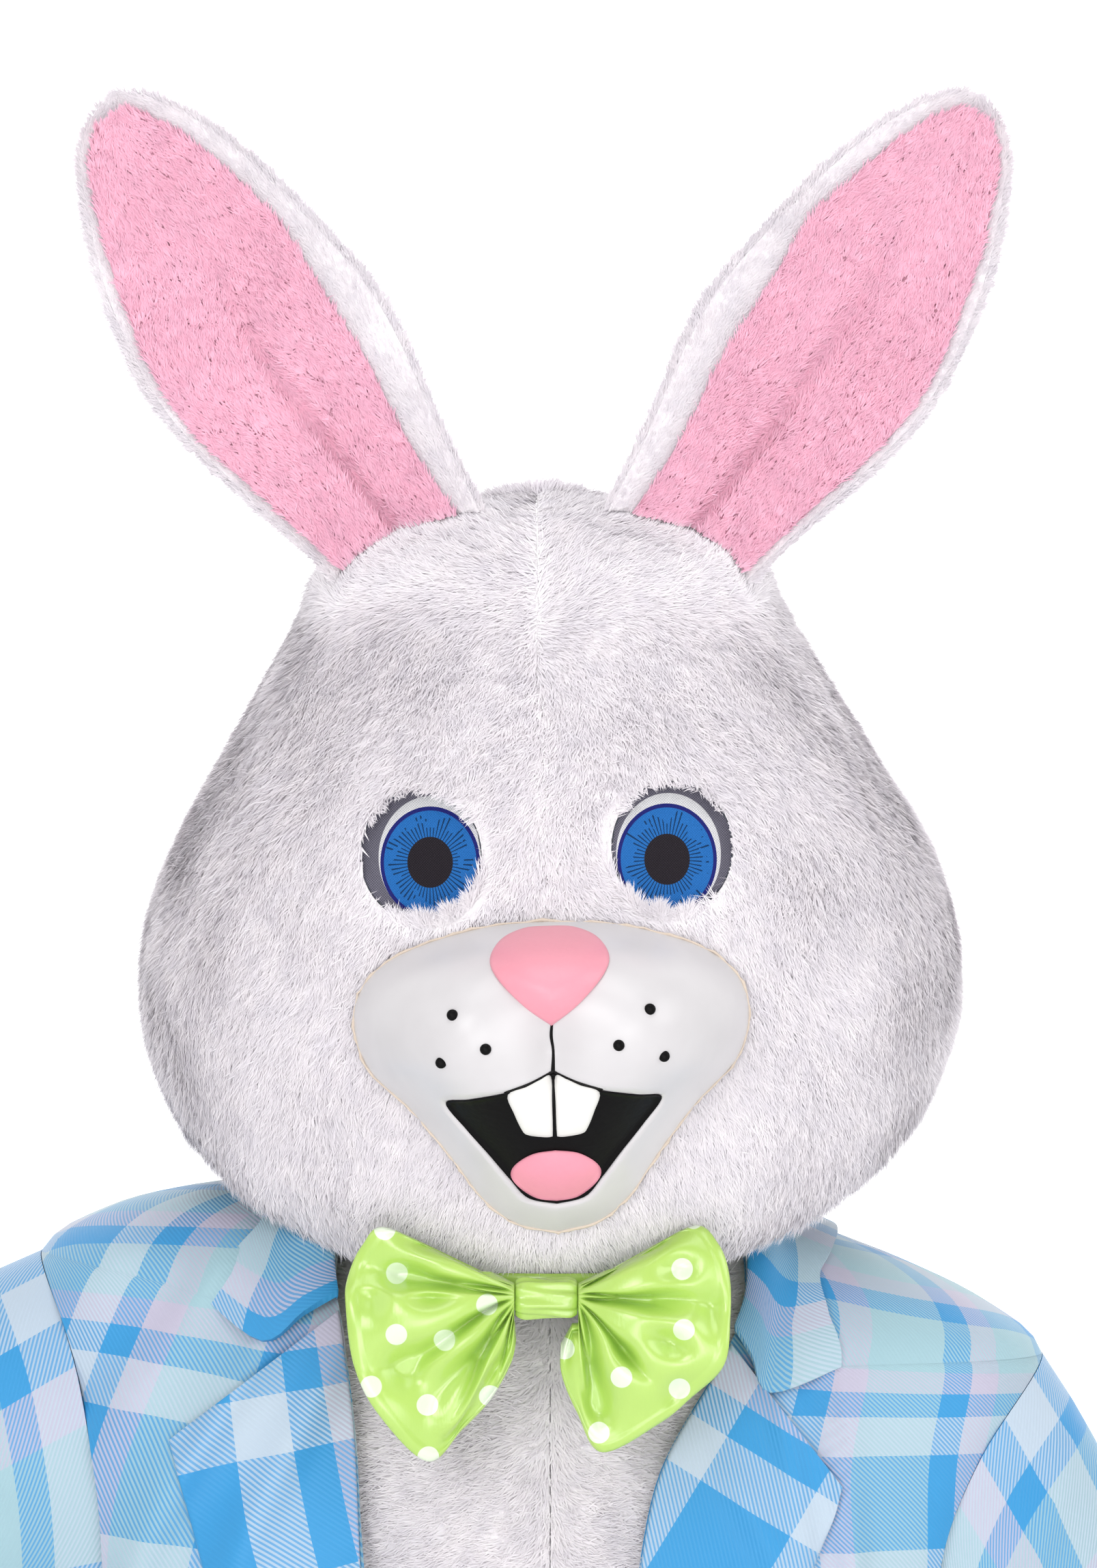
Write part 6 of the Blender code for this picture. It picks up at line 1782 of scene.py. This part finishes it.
# ---------------------------------------------------------------- stage
def area_light(name, place, aim, size, power):
    light = bpy.data.lights.new(name, "AREA")
    light.shape, light.size, light.energy = "SQUARE", size, power
    lamp = bpy.data.objects.new(name, light)
    lamp.location = place
    direction = mathutils.Vector(aim) - mathutils.Vector(place)
    lamp.rotation_euler = direction.to_track_quat("-Z", "Y").to_euler()
    bpy.context.scene.collection.objects.link(lamp)


def make_stage(looks):
    camera = bpy.data.cameras.new("camera")
    camera.sensor_fit, camera.sensor_height = "VERTICAL", 24
    camera.lens = CAMERA_LENS
    eye = bpy.data.objects.new("camera", camera)
    eye.location, eye.rotation_euler = CAMERA_PLACE, (QUARTER_TURN, 0, 0)
    bpy.context.scene.collection.objects.link(eye)
    bpy.context.scene.camera = eye
    for name, tone, glow, place, turn in (
            ("floor", 228, 0.1, (0, 0, FLOOR_Z), 0),
            ("backdrop", 254, looks.backdrop_glow, (0, 12, FLOOR_Z + 15), QUARTER_TURN)):
        paper = Finish(name + "_paper", 0.9, Specular_IOR_Level=0.1)
        low, high = (linear(shade, shade, shade) for shade in (tone - 3, tone))
        paper.colour(paper.mix(paper.noise(paper.coords(), 3, 2), low, high))
        paper.shader.inputs["Emission Color"].default_value = (1, 1, 1, 1)
        paper.shader.inputs["Emission Strength"].default_value = glow
        bpy.ops.mesh.primitive_plane_add(size=40, location=place, rotation=(turn, 0, 0))
        sheet = bpy.context.object
        bpy.ops.object.transform_apply(location=True, rotation=True, scale=True)
        sheet.name = name
        sheet.data.materials.append(paper.material)
    world = bpy.data.worlds.new("studio")
    world.use_nodes = True
    world.node_tree.nodes["Background"].inputs[0].default_value = (1, 1, 1, 1)
    world.node_tree.nodes["Background"].inputs[1].default_value = looks.room_light
    bpy.context.scene.world = world
    bpy.context.scene.view_settings.view_transform = "Standard"
    for name, place, aim, size, share in LIGHTS:
        area_light(name, place, aim, size, looks.key_power * share)


# ---------------------------------------------------------------- sizes and colours to change
class CostumeLooks(bpy.types.PropertyGroup):
    """Sizes and colours of the costume that a user would change."""

    pile_count: IntProperty(name="Pile count", default=95000, min=1000, max=190000,
                            description="Blades of plush on the largest panel's scale")
    pile_length: FloatProperty(name="Pile length", default=0.0080, min=0.002, max=0.012,
                               unit="LENGTH", description="Length of one blade of the plush")
    pile_lean: FloatProperty(name="Pile lean", default=1.22, min=0.1, max=1.3, subtype="ANGLE",
                             description="How far the pile lies over from upright")
    blade_width: FloatProperty(name="Blade width", default=0.0010, min=0.0002, max=0.003,
                               unit="LENGTH", description="Width of one blade at its root")
    white: FloatVectorProperty(name="White fur", default=(0.95, 0.910, 0.938), size=3, min=0, max=1,
                               subtype="COLOR", description="Colour of the white pile")
    pink: FloatVectorProperty(name="Pink fur", default=(0.98, 0.545, 0.69), size=3, min=0, max=1,
                              subtype="COLOR", description="Colour of the ears' pink pile")
    satin: FloatVectorProperty(name="Bow satin", default=(0.47, 0.69, 0.14), size=3, min=0, max=1,
                               subtype="COLOR", description="Colour of the bow tie")
    iris: FloatVectorProperty(name="Iris", default=(0.020, 0.160, 0.500), size=3, min=0, max=1,
                              subtype="COLOR", description="Colour of the woven iris")
    key_power: FloatProperty(name="Key light", default=80, min=0, max=2000, unit="POWER",
                             description="Power of the main soft light")
    room_light: FloatProperty(name="Room light", default=0.42, min=0, max=5,
                              description="Strength of the even light from all round")
    backdrop_glow: FloatProperty(name="Backdrop glow", default=1.02, min=0, max=2,
                                 description="Light that the white backdrop gives off by itself")


# ---------------------------------------------------------------- operators
class Step:
    """What the operators share: each runs its own makers in turn."""

    def execute(self, context):
        for make in self.makers:
            make(context.scene.costume)
        return {"FINISHED"}


class COSTUME_OT_finishes(Step, bpy.types.Operator):
    """Make the materials of the costume"""
    bl_idname, bl_label = "costume.finishes", "Finishes"
    makers = (make_finishes,)


class COSTUME_OT_head(Step, bpy.types.Operator):
    """Make the head's six plush panels"""
    bl_idname, bl_label = "costume.head", "Head"
    makers = (make_head, make_fringes)


class COSTUME_OT_eyes(Step, bpy.types.Operator):
    """Finish the woven eyes"""
    bl_idname, bl_label = "costume.eyes", "Eyes"
    makers = (make_eyes,)


class COSTUME_OT_muzzle(Step, bpy.types.Operator):
    """Make the formed muzzle and its glued edge"""
    bl_idname, bl_label = "costume.muzzle", "Muzzle"
    makers = (make_muzzle,)


class COSTUME_OT_mouth(Step, bpy.types.Operator):
    """Make the nose, mouth, teeth, tongue and whisker dots"""
    bl_idname, bl_label = "costume.mouth", "Nose and mouth"
    makers = (make_mouth, make_philtrum)


class COSTUME_OT_ears(Step, bpy.types.Operator):
    """Make the plush ears with their pink linings"""
    bl_idname, bl_label = "costume.ears", "Ears"
    makers = (make_ears,)


class COSTUME_OT_jacket(Step, bpy.types.Operator):
    """Make the blazer's fronts and back"""
    bl_idname, bl_label = "costume.jacket", "Blazer body"
    makers = (make_jacket,)


class COSTUME_OT_sleeves(Step, bpy.types.Operator):
    """Make the two set-in sleeves"""
    bl_idname, bl_label = "costume.sleeves", "Sleeves"
    makers = (make_sleeves,)


class COSTUME_OT_lapels(Step, bpy.types.Operator):
    """Make the notch lapels and the collar"""
    bl_idname, bl_label = "costume.lapels", "Lapels and collar"
    makers = (make_lapels, make_collar)


class COSTUME_OT_buttons(Step, bpy.types.Operator):
    """Make the blazer's buttons"""
    bl_idname, bl_label = "costume.buttons", "Buttons"
    makers = (make_buttons,)


class COSTUME_OT_bodysuit(Step, bpy.types.Operator):
    """Make the plush body and legs"""
    bl_idname, bl_label = "costume.bodysuit", "Bodysuit"
    makers = (make_bodysuit,)


class COSTUME_OT_bow(Step, bpy.types.Operator):
    """Make the satin bow tie on its neckband"""
    bl_idname, bl_label = "costume.bow", "Bow tie"
    makers = (make_bow,)


class COSTUME_OT_cloth(Step, bpy.types.Operator):
    """Look up the cloth pieces and the pile on each"""
    bl_idname, bl_label = "costume.cloth", "Cloth"
    makers = (declare_cloth,)


class COSTUME_OT_stage(Step, bpy.types.Operator):
    """Make the floor, backdrop, lights and camera"""
    bl_idname, bl_label = "costume.stage", "Stage"
    makers = (make_stage,)


OPERATORS = (COSTUME_OT_finishes, COSTUME_OT_head, COSTUME_OT_eyes, COSTUME_OT_muzzle,
             COSTUME_OT_mouth, COSTUME_OT_ears, COSTUME_OT_jacket, COSTUME_OT_sleeves,
             COSTUME_OT_lapels, COSTUME_OT_buttons, COSTUME_OT_bodysuit, COSTUME_OT_bow,
             COSTUME_OT_cloth, COSTUME_OT_stage)


class COSTUME_PT_panel(bpy.types.Panel):
    """Sizes, colours and steps of the rabbit costume"""
    bl_label = "Rabbit costume"
    bl_idname = "COSTUME_PT_panel"
    bl_space_type = "VIEW_3D"
    bl_region_type = "UI"
    bl_category = "Costume"

    def draw(self, context):
        for name in CostumeLooks.__annotations__:
            self.layout.prop(context.scene.costume, name)
        for operator in OPERATORS:
            self.layout.operator(operator.bl_idname)


CLASSES = (CostumeLooks, *OPERATORS, COSTUME_PT_panel)


def register():
    for kind in CLASSES:
        bpy.utils.register_class(kind)
    bpy.types.Scene.costume = PointerProperty(type=CostumeLooks)


def unregister():
    del bpy.types.Scene.costume
    for kind in reversed(CLASSES):
        bpy.utils.unregister_class(kind)


def main():
    register()
    for operator in OPERATORS:
        getattr(bpy.ops.costume, operator.bl_idname.split(".")[1])()


if __name__ == "__main__":
    main()
